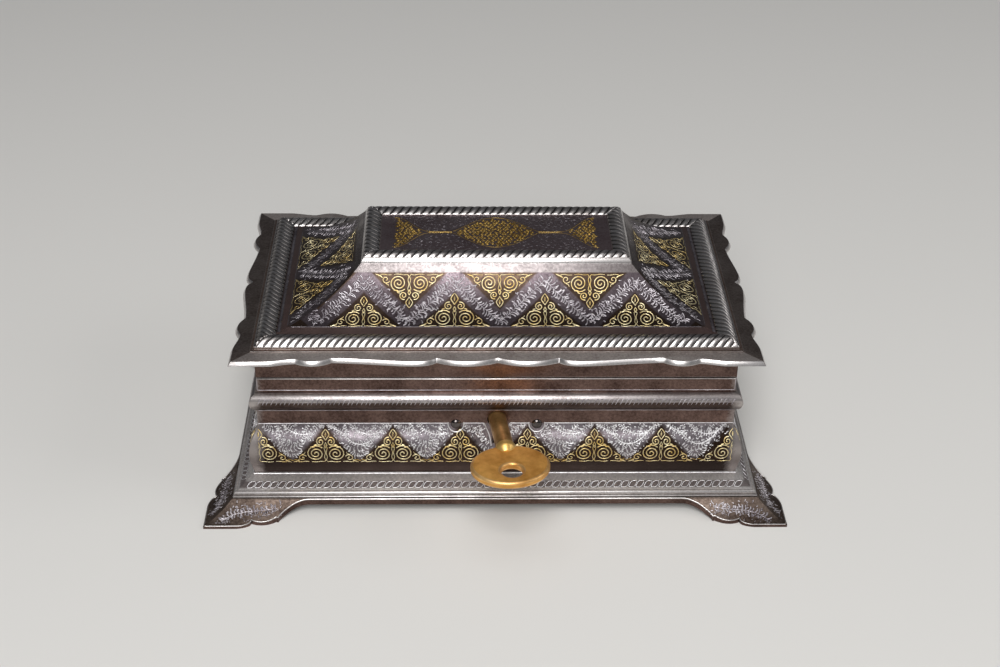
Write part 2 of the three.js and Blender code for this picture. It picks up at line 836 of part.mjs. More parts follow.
// Domed rivets that hold the lock: each head beds on the curved wall.
function lockRivet(x) {
  const face = -(halfDepth + bandOut);
  const head = new THREE.LatheGeometry([
    point(0, -rivetHeadHeight),
    point(rivetHeadRadius / 2, -rivetHeadHeight * Math.cos(Math.PI / 6)),
    point(rivetHeadRadius * Math.cos(Math.PI / 6), -rivetHeadHeight / 2),
    point(rivetHeadRadius, 0),
    point(rivetHeadRadius, wallSheet / 2),
    point(0, wallSheet / 2),
  ], roundSides);
  const bedding = finishedWall(frontSide).translate([0, -seamGap, 0]);
  const shank = barAlongY(rivetShankRadius, face, capFront, x, rivetZ);
  return join(cut(solid(head.translate(x, face - seamGap, rivetZ)), bedding), shank);
}
part('lock_rivet_left', geometryOf(lockRivet(-rivetSpacing / 2)), brightSteel);
part('lock_rivet_right', geometryOf(lockRivet(rivetSpacing / 2)), brightSteel);

// Staple: a plate on the inside of the lid skirt, with a tongue whose eye, open towards the front,
// takes the nose of the bolt.
const eye = boltNoseHeight / 2 + stapleEyeGap;
const stapleX = (tongueLow + tongueHigh) / 2;
const staple = cut(
  join(
    block(
      [stapleX - stapleWidth / 2, lockFront, lidBottom + looseGap],
      [stapleX + stapleWidth / 2, lockFront + stapleSheet, flangeBottom - looseGap],
    ),
    block(
      [tongueLow, lockFront + stapleSheet / 2, lidBottom + looseGap],
      [tongueHigh, tongueBack, flangeBottom - looseGap],
    ),
    block([tongueLow, tongueFront, noseZ - eye - stapleBar], [tongueHigh, tongueBack, lidBottom + 2 * looseGap]),
  ),
  block(
    [tongueLow - stapleSheet, boltFront - stapleEyeGap, noseZ - eye],
    [tongueHigh + stapleSheet, boltBack + stapleEyeGap, noseZ + eye],
  ),
);
part('lid_staple', geometryOf(staple), lockSteel);

// Key

const keyGroup = new THREE.Group();
keyGroup.position.set(keyX, keyWall, keyZ);
keyGroup.rotation.z = radians(keyLean);
box.add(keyGroup);

const keyTip = lockBack - lockSheet - looseGap - keyWall;
const noseTip = lockBack - seamGap - keyWall;
const bitStart = bitFront - keyWall;
const bowFront = bowLength / 2 - bowDistance;
const shankStart = bowFront - bolsterLength;
const shank = new THREE.LatheGeometry([
  point(0, shankStart - bolsterLength),
  point(keyRadius - bowEdge, shankStart - bolsterLength),
  point(keyRadius, shankStart),
  point(bolsterRadius, shankStart + bolsterLength / 3),
  point(bolsterRadius, shankStart + bolsterLength),
  point(keyRadius, shankStart + bolsterLength * 4 / 3),
  point(keyRadius, keyTip),
  point(keyNoseRadius, keyTip),
  point(keyNoseRadius, noseTip),
  point(0, noseTip),
], roundSides);

// Oval bow with rounded edges, lying flat, pierced near its far end.
function keyBow() {
  const oval = new THREE.Shape();
  oval.absellipse(0, -bowDistance, bowWidth / 2 - bowEdge, bowLength / 2 - bowEdge, 0, 2 * Math.PI, false, 0);
  const hole = new THREE.Path();
  hole.absarc(0, -bowDistance - bowHoleOffset, bowHoleRadius + bowEdge / 2, 0, 2 * Math.PI, true);
  oval.holes.push(hole);
  const disc = new THREE.ExtrudeGeometry(oval, {
    depth: bowThick - 2 * bowEdge,
    bevelThickness: bowEdge,
    bevelSize: bowEdge,
    bevelSegments: 2,
    curveSegments: bowSteps,
  });
  return solid(disc.translate(0, 0, bowEdge - bowThick / 2));
}

const bit = block(
  [-keyBitReach, bitStart, -keyBitThick / 2],
  [0, bitStart + keyBitLength, keyBitThick / 2],
);
part('key', geometryOf(join(solid(shank), keyBow(), bit)), brass, keyGroup);

// The middle of the footprint, key included, is the origin.
const lean = radians(keyLean);
const bowReach = Math.hypot(bowWidth / 2 * Math.sin(lean), bowLength / 2 * Math.cos(lean));
const keyReach = bowDistance * Math.cos(lean) - keyWall + bowReach;
box.position.y = (keyReach - halfDepth - footOut) / 2;

export default box;
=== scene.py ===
# Koftgari jewelry box: russet steel damascened with gold and silver wire, bright roped borders, a
# brass key and a velvet lining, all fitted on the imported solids.
import math
import random
from bisect import bisect_left

import bpy
from mathutils import Matrix, Vector


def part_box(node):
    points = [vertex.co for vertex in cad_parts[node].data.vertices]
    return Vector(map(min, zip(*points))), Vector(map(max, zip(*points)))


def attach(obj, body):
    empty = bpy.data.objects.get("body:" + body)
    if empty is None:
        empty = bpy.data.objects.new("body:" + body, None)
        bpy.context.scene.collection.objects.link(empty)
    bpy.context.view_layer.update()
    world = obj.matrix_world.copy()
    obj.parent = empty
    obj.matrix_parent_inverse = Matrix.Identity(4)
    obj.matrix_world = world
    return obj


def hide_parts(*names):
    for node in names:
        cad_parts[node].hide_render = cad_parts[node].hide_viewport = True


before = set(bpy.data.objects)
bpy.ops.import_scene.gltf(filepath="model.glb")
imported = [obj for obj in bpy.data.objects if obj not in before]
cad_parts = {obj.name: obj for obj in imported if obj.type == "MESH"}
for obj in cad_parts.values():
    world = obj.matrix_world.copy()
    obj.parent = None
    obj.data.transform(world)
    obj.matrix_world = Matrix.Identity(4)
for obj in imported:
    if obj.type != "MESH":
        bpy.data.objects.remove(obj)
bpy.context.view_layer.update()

MM = 0.001
scene = bpy.context.scene

# The middle of the box along Y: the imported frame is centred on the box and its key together.
MIDDLE = (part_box("top_plate")[0].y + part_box("top_plate")[1].y) / 2

# Sizes in millimetres, measured as in the solids: offsets go outward from the face of the rim.
ALONG, ACROSS = 60.0, 33.55
PLATFORM_ALONG, PLATFORM_ACROSS = 34.2, 14.25
WALL_SHEET, MITRE_GAP, SEAM = 1.4, 0.1, 0.05
RIM_TOP, TORUS_TOP, TORUS_BOTTOM = 36.13, 32.15, 27.06
BAND_OUT, NECK = 0.3, 23.2
BELLY_OUT, BELLY = 2.7, 15.0
FOOT_OUT, WALL_FOOT = 1.7, 8.65
LID_BOTTOM, FLANGE_BOTTOM, FLANGE_TOP = 36.5, 43.1, 44.5
SLOPE_IN, SLOPE_FOOT, PLATFORM_BOTTOM, PLATFORM_TOP = 5.3, 46.0, 58.3, 59.4
SLOPE_WAY = 19.01
HINGE_Z, HINGE_HALF, HINGE_AT = 36.315, 8.0, 35.0
KEY_X, KEY_Z, KEY_LEAN = 0.15, 24.0, 7.5
RIVET_X, RIVET_Z = 10.25, 22.63

# Spacing of the inlaid motifs: the long slopes and the long walls, with the shift off the middle
# that the front shows.
SLOPE_PITCH, SLOPE_SHIFT = 22.73, 0.75
WALL_PITCH, WALL_SHIFT = 17.05, -0.65


# Camera at the photograph's angle

camera = bpy.data.objects.new("camera", bpy.data.cameras.new("camera"))
scene.collection.objects.link(camera)
camera.data.sensor_width = 36.0
camera.data.lens = 59.72
right = Vector((0.99962385, -0.02348264, 0.01416775))
up = Vector((0.00036003, 0.52778154, 0.84938008))
back = Vector((-0.02742316, -0.84905549, 0.52759147))
camera.matrix_world = Matrix.Translation(
    Vector((-10.62, -378.61, 263.78)) * MM + Vector((0, MIDDLE, 0))
) @ Matrix((right, up, back)).transposed().to_4x4()
camera.data.clip_start = 0.01
camera.data.clip_end = 20.0
scene.camera = camera


# Materials


def linear(colour):
    """Linear RGBA of an sRGB hex colour."""
    parts = [int(colour[i:i + 2], 16) / 255 for i in (1, 3, 5)]
    return [p / 12.92 if p <= 0.04045 else ((p + 0.055) / 1.055) ** 2.4 for p in parts] + [1.0]


def add(tree, kind, inputs=None, **settings):
    """One node with its settings, its values and its links."""
    made = tree.nodes.new(kind)
    for key, value in settings.items():
        setattr(made, key, value)
    for socket, value in (inputs or {}).items():
        if isinstance(value, bpy.types.NodeSocket):
            tree.links.new(value, made.inputs[socket])
        else:
            made.inputs[socket].default_value = value
    return made


def blank(name):
    """A material with nothing in it but its output and a shader."""
    material = bpy.data.materials.new(name)
    material.use_nodes = True
    tree = material.node_tree
    tree.nodes.clear()
    shader = add(tree, "ShaderNodeBsdfPrincipled")
    add(tree, "ShaderNodeOutputMaterial", {"Surface": shader.outputs["BSDF"]})
    return material, tree, shader


def steel(name, dark, light, rough, bump=0.35, field=None, motifs=None, patina_and_shade=None, corner=None):
    """Steel: cloudy tone over some 7 mm, pits of about half a millimetre, and fine scratches.
    A field is the heights in mm between which the hatched ground has two other tones. In it,
    motifs gives a mask that is 0 under the gold, where the ground has the next two tones. A last
    tone is for the steel below the field. Corner is the grey that the browning is rubbed down to at
    the box's corners."""
    material, tree, shader = blank(name)
    place = add(tree, "ShaderNodeTexCoord").outputs["Object"]
    clouds = add(tree, "ShaderNodeTexNoise", {"Vector": place, "Scale": 140.0, "Detail": 6.0, "Roughness": 0.62})
    pits = add(tree, "ShaderNodeTexNoise", {"Vector": place, "Scale": 1600.0, "Detail": 4.0, "Roughness": 0.7})
    stretch = add(tree, "ShaderNodeMapping", {"Vector": place, "Scale": (180.0, 180.0, 2600.0)})
    scratches = add(tree, "ShaderNodeTexNoise", {"Vector": stretch.outputs["Vector"], "Scale": 1.0, "Detail": 3.0})
    mottle = add(tree, "ShaderNodeMath", {0: clouds.outputs["Fac"], 1: 0.55}, operation="MULTIPLY")
    mottle = add(tree, "ShaderNodeMath", {
        0: pits.outputs["Fac"], 1: 0.5, 2: mottle.outputs[0],
    }, operation="MULTIPLY_ADD")
    spread = add(tree, "ShaderNodeMapRange", {"Value": mottle.outputs[0], "From Min": 0.38, "From Max": 0.68})
    tone = add(tree, "ShaderNodeMix", {
        "Factor": spread.outputs["Result"], 6: linear(dark), 7: linear(light),
    }, data_type="RGBA")
    colour = tone.outputs[2]
    if field:
        low, high, ground_dark, ground_light = field[:4]
        height = add(tree, "ShaderNodeSeparateXYZ", {"Vector": place}).outputs["Z"]
        above = add(tree, "ShaderNodeMapRange", {
            "Value": height, "From Min": (low - 0.12) * MM, "From Max": (low + 0.12) * MM,
        })
        below = add(tree, "ShaderNodeMapRange", {
            "Value": height, "From Min": (high + 0.12) * MM, "From Max": (high - 0.12) * MM,
        })
        inside = add(tree, "ShaderNodeMath", {
            0: above.outputs["Result"], 1: below.outputs["Result"],
        }, operation="MULTIPLY")
        ground = add(tree, "ShaderNodeMix", {
            "Factor": spread.outputs["Result"], 6: linear(ground_dark), 7: linear(ground_light),
        }, data_type="RGBA")
        if motifs:
            darker_steel = add(tree, "ShaderNodeMix", {
                "Factor": spread.outputs["Result"], 6: linear(field[4]), 7: linear(field[5]),
            }, data_type="RGBA")
            ground = add(tree, "ShaderNodeMix", {
                "Factor": motifs(tree, place), 6: darker_steel.outputs[2], 7: ground.outputs[2],
            }, data_type="RGBA")
        if len(field) > 6:
            colour = add(tree, "ShaderNodeMix", {
                "Factor": above.outputs["Result"], 6: linear(field[6]), 7: colour,
            }, data_type="RGBA").outputs[2]
        colour = add(tree, "ShaderNodeMix", {
            "Factor": inside.outputs[0], 6: colour, 7: ground.outputs[2],
        }, data_type="RGBA").outputs[2]
    if corner:
        spot = add(tree, "ShaderNodeSeparateXYZ", {"Vector": place})
        along = add(tree, "ShaderNodeMath", {0: spot.outputs["X"]}, operation="ABSOLUTE").outputs[0]
        across = add(tree, "ShaderNodeMath", {
            0: sum_of(tree, spot.outputs["Y"], 1.0, -MIDDLE),
        }, operation="ABSOLUTE").outputs[0]
        both = add(tree, "ShaderNodeMath", {
            0: sum_of(tree, along, 1 / MM, -ALONG), 1: sum_of(tree, across, 1 / MM, -ACROSS),
        }, operation="MINIMUM").outputs[0]
        near = add(tree, "ShaderNodeMapRange", {
            "Value": sum_of(tree, mottle.outputs[0], 5.0, both), "From Min": 1.2, "From Max": 3.6,
        })
        colour = add(tree, "ShaderNodeMix", {
            "Factor": near.outputs["Result"], 6: colour, 7: linear(corner),
        }, data_type="RGBA").outputs[2]
    # Painted shade: the groove attribute darkens the rope's grooves and the backs of its strands, along with the
    # browning left there.
    if patina_and_shade:
        groove_patina_and_shade = add(tree, "ShaderNodeAttribute", attribute_name="groove_patina_and_shade")
        colour = add(tree, "ShaderNodeMix", {
            "Factor": groove_patina_and_shade.outputs["Fac"], 6: colour, 7: linear(patina_and_shade),
        }, data_type="RGBA").outputs[2]
    tree.links.new(colour, shader.inputs["Base Color"])
    shader.inputs["Metallic"].default_value = 1.0
    polish = add(tree, "ShaderNodeMapRange", {
        "Value": mottle.outputs[0], "From Min": 0.35, "From Max": 0.7, "To Min": rough + 0.1, "To Max": rough - 0.06,
    })
    tree.links.new(polish.outputs["Result"], shader.inputs["Roughness"])
    relief = add(tree, "ShaderNodeMath", {
        0: scratches.outputs["Fac"], 1: 0.6, 2: pits.outputs["Fac"],
    }, operation="MULTIPLY_ADD")
    dents = add(tree, "ShaderNodeBump", {"Strength": bump, "Distance": 0.00006, "Height": relief.outputs[0]})
    tree.links.new(dents.outputs["Normal"], shader.inputs["Normal"])
    return material


def sum_of(tree, a, gain, b):
    """a * gain + b."""
    return add(tree, "ShaderNodeMath", {0: a, 1: gain, 2: b}, operation="MULTIPLY_ADD").outputs[0]


def from_motif(tree, place, axis, pitch, shift):
    """Distance along a side, in mm, from the nearest motif's middle; it swings from 0 to half a pitch."""
    ends = add(tree, "ShaderNodeSeparateXYZ", {"Vector": place}).outputs[axis]
    along = sum_of(tree, ends, 1 / MM, shift)
    return add(tree, "ShaderNodeMath", {0: along, 1: pitch / 2}, operation="PINGPONG").outputs[0]


def wall_motifs(axis, pitch, shift):
    """Mask of the palmettes on a wall: 0 under one and 1 away from them."""
    def mask(tree, place):
        aside = from_motif(tree, place, axis, pitch, shift)
        height = add(tree, "ShaderNodeSeparateXYZ", {"Vector": place}).outputs["Z"]
        rise = sum_of(tree, height, 1 / MM / 9.0, -12.4 / 9.0)
        reach = sum_of(tree, aside, 1 / 8.3, rise)
        return add(tree, "ShaderNodeMapRange", {"Value": reach, "From Min": 1.04, "From Max": 1.2}).outputs["Result"]
    return mask


def slope_motifs(axis, across_axis, pitch, shift, foot, run, first, second):
    """Mask of the triangles on a slope: 0 under one and 1 on the band that winds between them."""
    middle = MIDDLE / MM

    def mask(tree, place):
        aside = from_motif(tree, place, axis, pitch, -shift)
        split = add(tree, "ShaderNodeSeparateXYZ", {"Vector": place}).outputs[across_axis]
        off = add(tree, "ShaderNodeMath", {
            0: sum_of(tree, split, 1 / MM, -middle if across_axis == "Y" else 0.0),
        }, operation="ABSOLUTE").outputs[0]
        share = sum_of(tree, off, -1 / run, foot / run)
        cube = add(tree, "ShaderNodeMath", {0: share, 1: 3.0}, operation="POWER").outputs[0]
        way = sum_of(tree, cube, second, sum_of(tree, share, first, 0.0))
        away = sum_of(tree, aside, -1.0, pitch / 2)
        up = sum_of(tree, away, 1 / 8.9, sum_of(tree, way, 1 / 9.2, -2.2 / 9.2))
        down = sum_of(tree, aside, 1 / 8.7, sum_of(tree, way, -1 / 8.9, 16.2 / 8.9))
        least = add(tree, "ShaderNodeMath", {0: up, 1: down}, operation="MINIMUM").outputs[0]
        return add(tree, "ShaderNodeMapRange", {"Value": least, "From Min": 1.0, "From Max": 1.07}).outputs["Result"]
    return mask


def wire(name, deep, bright, rough):
    """Beaten wire: the tone wanders along it, with a dull grain where the tool closed it."""
    material, tree, shader = blank(name)
    place = add(tree, "ShaderNodeTexCoord").outputs["Object"]
    beats = add(tree, "ShaderNodeTexNoise", {"Vector": place, "Scale": 900.0, "Detail": 3.0})
    wear = add(tree, "ShaderNodeTexNoise", {"Vector": place, "Scale": 110.0, "Detail": 2.0})
    both = add(tree, "ShaderNodeMath", {0: beats.outputs["Fac"], 1: wear.outputs["Fac"]}, operation="ADD")
    amount = add(tree, "ShaderNodeMapRange", {"Value": both.outputs[0], "From Min": 0.75, "From Max": 1.2})
    tone = add(tree, "ShaderNodeMix", {
        "Factor": amount.outputs["Result"], 6: linear(deep), 7: linear(bright),
    }, data_type="RGBA")
    tree.links.new(tone.outputs[2], shader.inputs["Base Color"])
    shader.inputs["Metallic"].default_value = 1.0
    polish = add(tree, "ShaderNodeMapRange", {
        "Value": beats.outputs["Fac"], "To Min": rough + 0.12, "To Max": rough - 0.08,
    })
    tree.links.new(polish.outputs["Result"], shader.inputs["Roughness"])
    return material


# Browned mild steel, hammered, hatched with a knife and browned: dull red-brown with grey clouds.
russet = steel("russet_steel", "#43332e", "#7d665e", 0.38)
# The long and the short walls: a grey hatched field up to the line at the neck, near black under
# the gold palmettes.
WALL_FIELD = (12.25, 22.9, "#4d4649", "#9d959a", "#2a1f19", "#4a3b32", "#3a2f2b")
wall_long = steel(
    "russet_wall_long", "#43332e", "#7d665e", 0.38, field=WALL_FIELD, corner="#a59d9a",
    motifs=wall_motifs("X", WALL_PITCH, -WALL_SHIFT + WALL_PITCH / 2),
)
wall_short = steel(
    "russet_wall_short", "#43332e", "#7d665e", 0.38, field=WALL_FIELD, corner="#a59d9a",
    motifs=wall_motifs("Y", 16.8, -MIDDLE / MM),
)
# The hollow slopes: browned margins and triangles, with a greyer band winding between them.
SLOPE_FIELD = (46.9, 56.3, "#3c3336", "#756a6f", "#31251f", "#54453b", "#86706b")
slope_long = steel(
    "russet_slope_long", "#565050", "#9a9291", 0.35, field=SLOPE_FIELD,
    motifs=slope_motifs("X", "Y", SLOPE_PITCH, SLOPE_SHIFT, 28.25, 14.0, 15.4, 3.6),
)
slope_short = steel(
    "russet_slope_short", "#4f4644", "#968c8a", 0.35,
    field=(46.9, 56.3, "#54494b", "#8b8083", "#463831", "#76665a", "#86706b"),
    motifs=slope_motifs("Y", "X", 23.2, MIDDLE / MM, 54.7, 20.5, 16.5, 2.5),
)
# Platform: hatched violet grey between the gold fields.
platform_steel = steel("hatched_platform_steel", "#6a585a", "#a59496", 0.38)
# The same steel rubbed bright by handling and cleaning. On eased edges, and in the pale lines laid along them, it also
# serves as painted highlight.
worn_and_highlight = steel("worn_steel", "#a8a2a0", "#e6e2e0", 0.32, bump=0.2)
# Half-round moulding: pale grey steel above its middle as a painted highlight, and dark below it as painted shade.
half_round_painted_light = steel("half_round_steel_painted_light", "#857c7a", "#c6bfbe", 0.34, bump=0.4, field=(26.0, 30.1, "#3a2e2a", "#5d4f4a"), corner="#b5aeab")
# Bevel of the base: silvered and pale, a little darker inside the chain.
silvered = steel("silvered_steel", "#b5aeab", "#f0ebe8", 0.50, bump=0.4, field=(6.36, 7.36, "#7d7371", "#a89e9c"))
# Flange along the front and the back: silvering worn thin, pale brown grey and dull.
dulled = steel("dulled_silvered_steel", "#8f847f", "#d2c9c4", 0.54, bump=0.6)
# Flange along the ends: the same dull flange steel, painted darker as the shade these faces take under the front lamp.
darker_steel = steel("end_flange_steel_painted_shade", "#4d433e", "#8f847e", 0.46, bump=0.6)
# Feet: browner, with the silvering left between pits.
foot_steel = steel("browned_foot_steel", "#3f332d", "#83746a", 0.48, bump=0.9)
# Filed rope strands: bright crests, with browning left in the grooves, and painted shade in the grooves and on the back
# half of each strand.
rope_steel = steel("filed_steel_rope", "#958e8b", "#e2dedc", 0.33, bump=0.2, patina_and_shade="#1c1513")
# The flat bar under the strands, browned and pitted.
bar_steel = steel("browned_steel_bar", "#55443c", "#a08e84", 0.44, bump=0.7)
# Lock and hinge work, filed and oiled.
lock_steel = steel("filed_lock_steel", "#57524f", "#8d8783", 0.42)
# Gold and silver wire beaten into the hatching.
gold = wire("beaten_gold_wire", "#e4c274", "#fff3c8", 0.40)
dim_gold = wire("worn_gold_wire", "#9a7a38", "#d3b062", 0.40)
silver = wire("beaten_silver_wire", "#cdc9cb", "#fcfbfc", 0.42)
silver_fine = wire("beaten_silver_thread", "#8e868c", "#d6d0d4", 0.42)
# Rivet heads: dark steel, burnished.
rivet_steel = steel("burnished_rivet_steel", "#3a3533", "#6c6664", 0.22, bump=0.1)
worn_silver = wire("worn_silver_thread", "#635b60", "#a59ea3", 0.42)


def brass_finish(name, deep, bright, rough, metal):
    """Cast brass, filed and handled: warm yellow, browner in patches, with soft file marks. Where
    metal is under 1, thin matt tarnish scatters light, so a face turned from the lamp is ochre."""
    material, tree, shader = blank(name)
    place = add(tree, "ShaderNodeTexCoord").outputs["Object"]
    clouds = add(tree, "ShaderNodeTexNoise", {"Vector": place, "Scale": 190.0, "Detail": 5.0, "Roughness": 0.6})
    stretch = add(tree, "ShaderNodeMapping", {"Vector": place, "Scale": (3200.0, 260.0, 900.0)})
    marks = add(tree, "ShaderNodeTexNoise", {"Vector": stretch.outputs["Vector"], "Scale": 1.0, "Detail": 2.0})
    amount = add(tree, "ShaderNodeMapRange", {"Value": clouds.outputs["Fac"], "From Min": 0.36, "From Max": 0.66})
    tone = add(tree, "ShaderNodeMix", {
        "Factor": amount.outputs["Result"], 6: linear(deep), 7: linear(bright),
    }, data_type="RGBA")
    tree.links.new(tone.outputs[2], shader.inputs["Base Color"])
    shader.inputs["Metallic"].default_value = metal
    polish = add(tree, "ShaderNodeMapRange", {
        "Value": clouds.outputs["Fac"], "To Min": rough + 0.08, "To Max": rough - 0.08,
    })
    tree.links.new(polish.outputs["Result"], shader.inputs["Roughness"])
    dents = add(tree, "ShaderNodeBump", {"Strength": 0.3, "Distance": 0.00004, "Height": marks.outputs["Fac"]})
    tree.links.new(dents.outputs["Normal"], shader.inputs["Normal"])
    return material


# Bow of the key, and the bolt: matt ochre.
brass = brass_finish("handled_brass", "#b98038", "#e8ae5c", 0.46, 0.6)
# Rounded rim of the bow, lighter where fingers rub it, and paler still as a painted highlight round it.
brass_rim = brass_finish("brass_rim_rubbed_and_painted_highlight", "#c8924e", "#f4c886", 0.40, 0.8)
# Shank: browned and smooth, so it shows one bright streak between dark sides.
brass_shank = brass_finish("browned_brass", "#96703f", "#d8ac70", 0.34, 0.85)
# Collar, polished pale yellow.
brass_collar = brass_finish("polished_brass", "#cfa75e", "#f2d690", 0.36, 0.75)


def velvet_finish():
    """Silk velvet: dark in its depth and pale at grazing angles, with nap brushed in patches."""
    material, tree, shader = blank("silk_velvet")
    place = add(tree, "ShaderNodeTexCoord").outputs["Object"]
    nap = add(tree, "ShaderNodeTexNoise", {"Vector": place, "Scale": 120.0, "Detail": 3.0})
    pile = add(tree, "ShaderNodeTexNoise", {"Vector": place, "Scale": 5200.0, "Detail": 2.0})
    amount = add(tree, "ShaderNodeMapRange", {"Value": nap.outputs["Fac"], "From Min": 0.35, "From Max": 0.65})
    tone = add(tree, "ShaderNodeMix", {
        "Factor": amount.outputs["Result"], 6: linear("#4a0d18"), 7: linear("#74182a"),
    }, data_type="RGBA")
    tree.links.new(tone.outputs[2], shader.inputs["Base Color"])
    shader.inputs["Roughness"].default_value = 0.9
    shader.inputs["Sheen Weight"].default_value = 0.7
    shader.inputs["Sheen Roughness"].default_value = 0.35
    shader.inputs["Sheen Tint"].default_value = linear("#d9808c")
    tufts = add(tree, "ShaderNodeBump", {"Strength": 0.5, "Distance": 0.0001, "Height": pile.outputs["Fac"]})
    tree.links.new(tufts.outputs["Normal"], shader.inputs["Normal"])
    return material


velvet = velvet_finish()


# Modelling


def deselect():
    bpy.ops.object.select_all(action="DESELECT")


def pick(piece):
    deselect()
    piece.select_set(True)
    bpy.context.view_layer.objects.active = piece


def outline(name, corners):
    """A flat face with these corners, in mm."""
    deselect()
    bpy.ops.mesh.primitive_circle_add(vertices=len(corners), radius=0.01, fill_type="NGON")
    piece = bpy.context.object
    piece.name = name
    piece.data.name = name
    for vertex, corner in zip(piece.data.vertices, corners):
        vertex.co = Vector(corner) * MM
    return piece


def extrude(piece, move):
    """The face becomes a solid, its far side moved by this much, in mm."""
    pick(piece)
    bpy.ops.object.mode_set(mode="EDIT")
    bpy.ops.mesh.select_all(action="SELECT")
    bpy.ops.mesh.extrude_region_move(TRANSFORM_OT_translate={"value": Vector(move) * MM})
    bpy.ops.mesh.select_all(action="SELECT")
    bpy.ops.mesh.normals_make_consistent(inside=False)
    bpy.ops.object.mode_set(mode="OBJECT")
    return piece


def trim(piece, planes, fill=True):
    """What lies beyond each plane is cut off, and the cut is closed."""
    pick(piece)
    bpy.ops.object.mode_set(mode="EDIT")
    for place, normal in planes:
        bpy.ops.mesh.select_all(action="SELECT")
        bpy.ops.mesh.bisect(
            plane_co=Vector(place) * MM, plane_no=Vector(normal).normalized(), use_fill=fill,
            clear_outer=True, threshold=1e-7,
        )
    bpy.ops.object.mode_set(mode="OBJECT")
    return piece


def mitres(along, across, hip=1.0, start=0.0):
    """The two planes through a strip's corners. A hip other than 1 is the corner's run along the
    strip for each mm across, from the offset where it starts."""
    end = along - MITRE_GAP / 2 + start
    return [
        ((end, -across - start, 0), (1, hip, 0)),
        ((-end, -across - start, 0), (-1, hip, 0)),
    ]


def strip(name, section, along, across, planes=None):
    """A moulding for the front: its section, as outward offsets and heights, with mitred ends."""
    half = along + 30
    piece = outline(name, [(-half, -(across + out), z) for out, z in section])
    extrude(piece, (2 * half, 0, 0))
    return trim(piece, planes or mitres(along, across))


def carve(piece, *tools):
    """Cuts the tools out of the piece, and removes them."""
    for tool in tools:
        pick(piece)
        cutter = piece.modifiers.new("carve", "BOOLEAN")
        cutter.operation = "DIFFERENCE"
        cutter.solver = "EXACT"
        cutter.object = tool
        bpy.ops.object.modifier_apply(modifier=cutter.name)
        bpy.data.objects.remove(tool)
    return piece


def prism(corners, move):
    return extrude(outline("tool", corners), move)


def room(low, high):
    """A block to cut with, between two corners."""
    corners = [(low[0], low[1], low[2]), (high[0], low[1], low[2]), (high[0], high[1], low[2]), (low[0], high[1], low[2])]
    return prism(corners, (0, 0, high[2] - low[2]))


def paint(piece, *materials):
    piece.data.materials.clear()
    for material in materials:
        piece.data.materials.append(material)


def ease(piece, width, segments=2, angle=38, clamp=True):
    """Rounds the sharp edges, which then show the second material, and smooths the rest."""
    pick(piece)
    if width:
        edge = piece.modifiers.new("ease", "BEVEL")
        edge.width = width * MM
        edge.segments = segments
        edge.limit_method = "ANGLE"
        edge.angle_limit = math.radians(angle)
        edge.use_clamp_overlap = clamp
        edge.material = len(piece.data.materials) - 1
        bpy.ops.object.modifier_apply(modifier=edge.name)
    bpy.ops.object.shade_smooth_by_angle(angle=math.radians(32))
    return piece


def quiet(piece, along, across, hip=1.0, start=0.0):
    """Faces beside the mitres take the first material, so no bright line shows at a corner."""
    end = along + start
    for face in piece.data.polygons:
        c = face.center / MM
        if abs(abs(c.x) - end + hip * (c.y + across + start)) / math.hypot(1, hip) < 0.3:
            face.material_index = 0


def wear(piece, picked, index=None):
    """Faces that this test picks by centre, in mm, and normal take a material: if none is given,
    the last."""
    for face in piece.data.polygons:
        if picked(face.center / MM, face.normal):
            face.material_index = len(piece.data.materials) - 1 if index is None else index


def settle(piece, turn, body, *nodes, slot=None):
    """Turns a front piece to its side, sets it on the box's middle, and puts it in its body."""
    pick(piece)
    piece.rotation_euler = (0, 0, turn)
    piece.location = (0, MIDDLE, 0)
    bpy.ops.object.transform_apply(location=True, rotation=True, scale=True)
    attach(piece, body)
    if nodes:
        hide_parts(*nodes)
    return piece


def curve_points(steps, a, b, c, d):
    """Points along a cubic curve."""
    made = []
    for i in range(steps + 1):
        t = i / steps
        k = (1 - t) ** 3, 3 * t * (1 - t) ** 2, 3 * t * t * (1 - t), t ** 3
        made.append(tuple(sum(w * p[j] for w, p in zip(k, (a, b, c, d))) for j in (0, 1)))
    return made


def arc_points(steps, a, b, c):
    """Points along a quadratic curve."""
    made = []
    for i in range(steps + 1):
        t = i / steps
        k = (1 - t) ** 2, 2 * t * (1 - t), t * t
        made.append(tuple(sum(w * p[j] for w, p in zip(k, (a, b, c))) for j in (0, 1)))
    return made


def bead(start, end, proud, steps=18):
    """A rounded bead that stands proud on the right-hand side of its way."""
    way = Vector((end[0] - start[0], end[1] - start[1])).normalized()
    out = Vector((way.y, -way.x))
    made = []
    for i in range(steps + 1):
        turn = math.pi * i / steps
        share = (1 - math.cos(turn)) / 2
        made.append((
            start[0] + (end[0] - start[0]) * share + out.x * proud * math.sin(turn),
            start[1] + (end[1] - start[1]) * share + out.y * proud * math.sin(turn),
        ))
    return made


SIDES = [
    ("front", 0.0, ALONG, ACROSS, PLATFORM_ALONG, PLATFORM_ACROSS),
    ("right", math.pi / 2, ACROSS, ALONG, PLATFORM_ACROSS, PLATFORM_ALONG),
    ("back", math.pi, ALONG, ACROSS, PLATFORM_ALONG, PLATFORM_ACROSS),
    ("left", -math.pi / 2, ACROSS, ALONG, PLATFORM_ACROSS, PLATFORM_ALONG),
]


# Body walls, with their half-round and base mouldings

SWELL = (NECK - BELLY) / 3
TUCK = (BELLY - WALL_FOOT) / 3
WALL_FACE = curve_points(
    22, (BAND_OUT, NECK), (BAND_OUT, NECK - SWELL), (BELLY_OUT, BELLY + 1.5 * SWELL), (BELLY_OUT, BELLY),
) + curve_points(
    16, (BELLY_OUT, BELLY), (BELLY_OUT, BELLY - TUCK),
    ((BELLY_OUT + FOOT_OUT) / 2, WALL_FOOT + TUCK), (FOOT_OUT, WALL_FOOT),
)[1:]


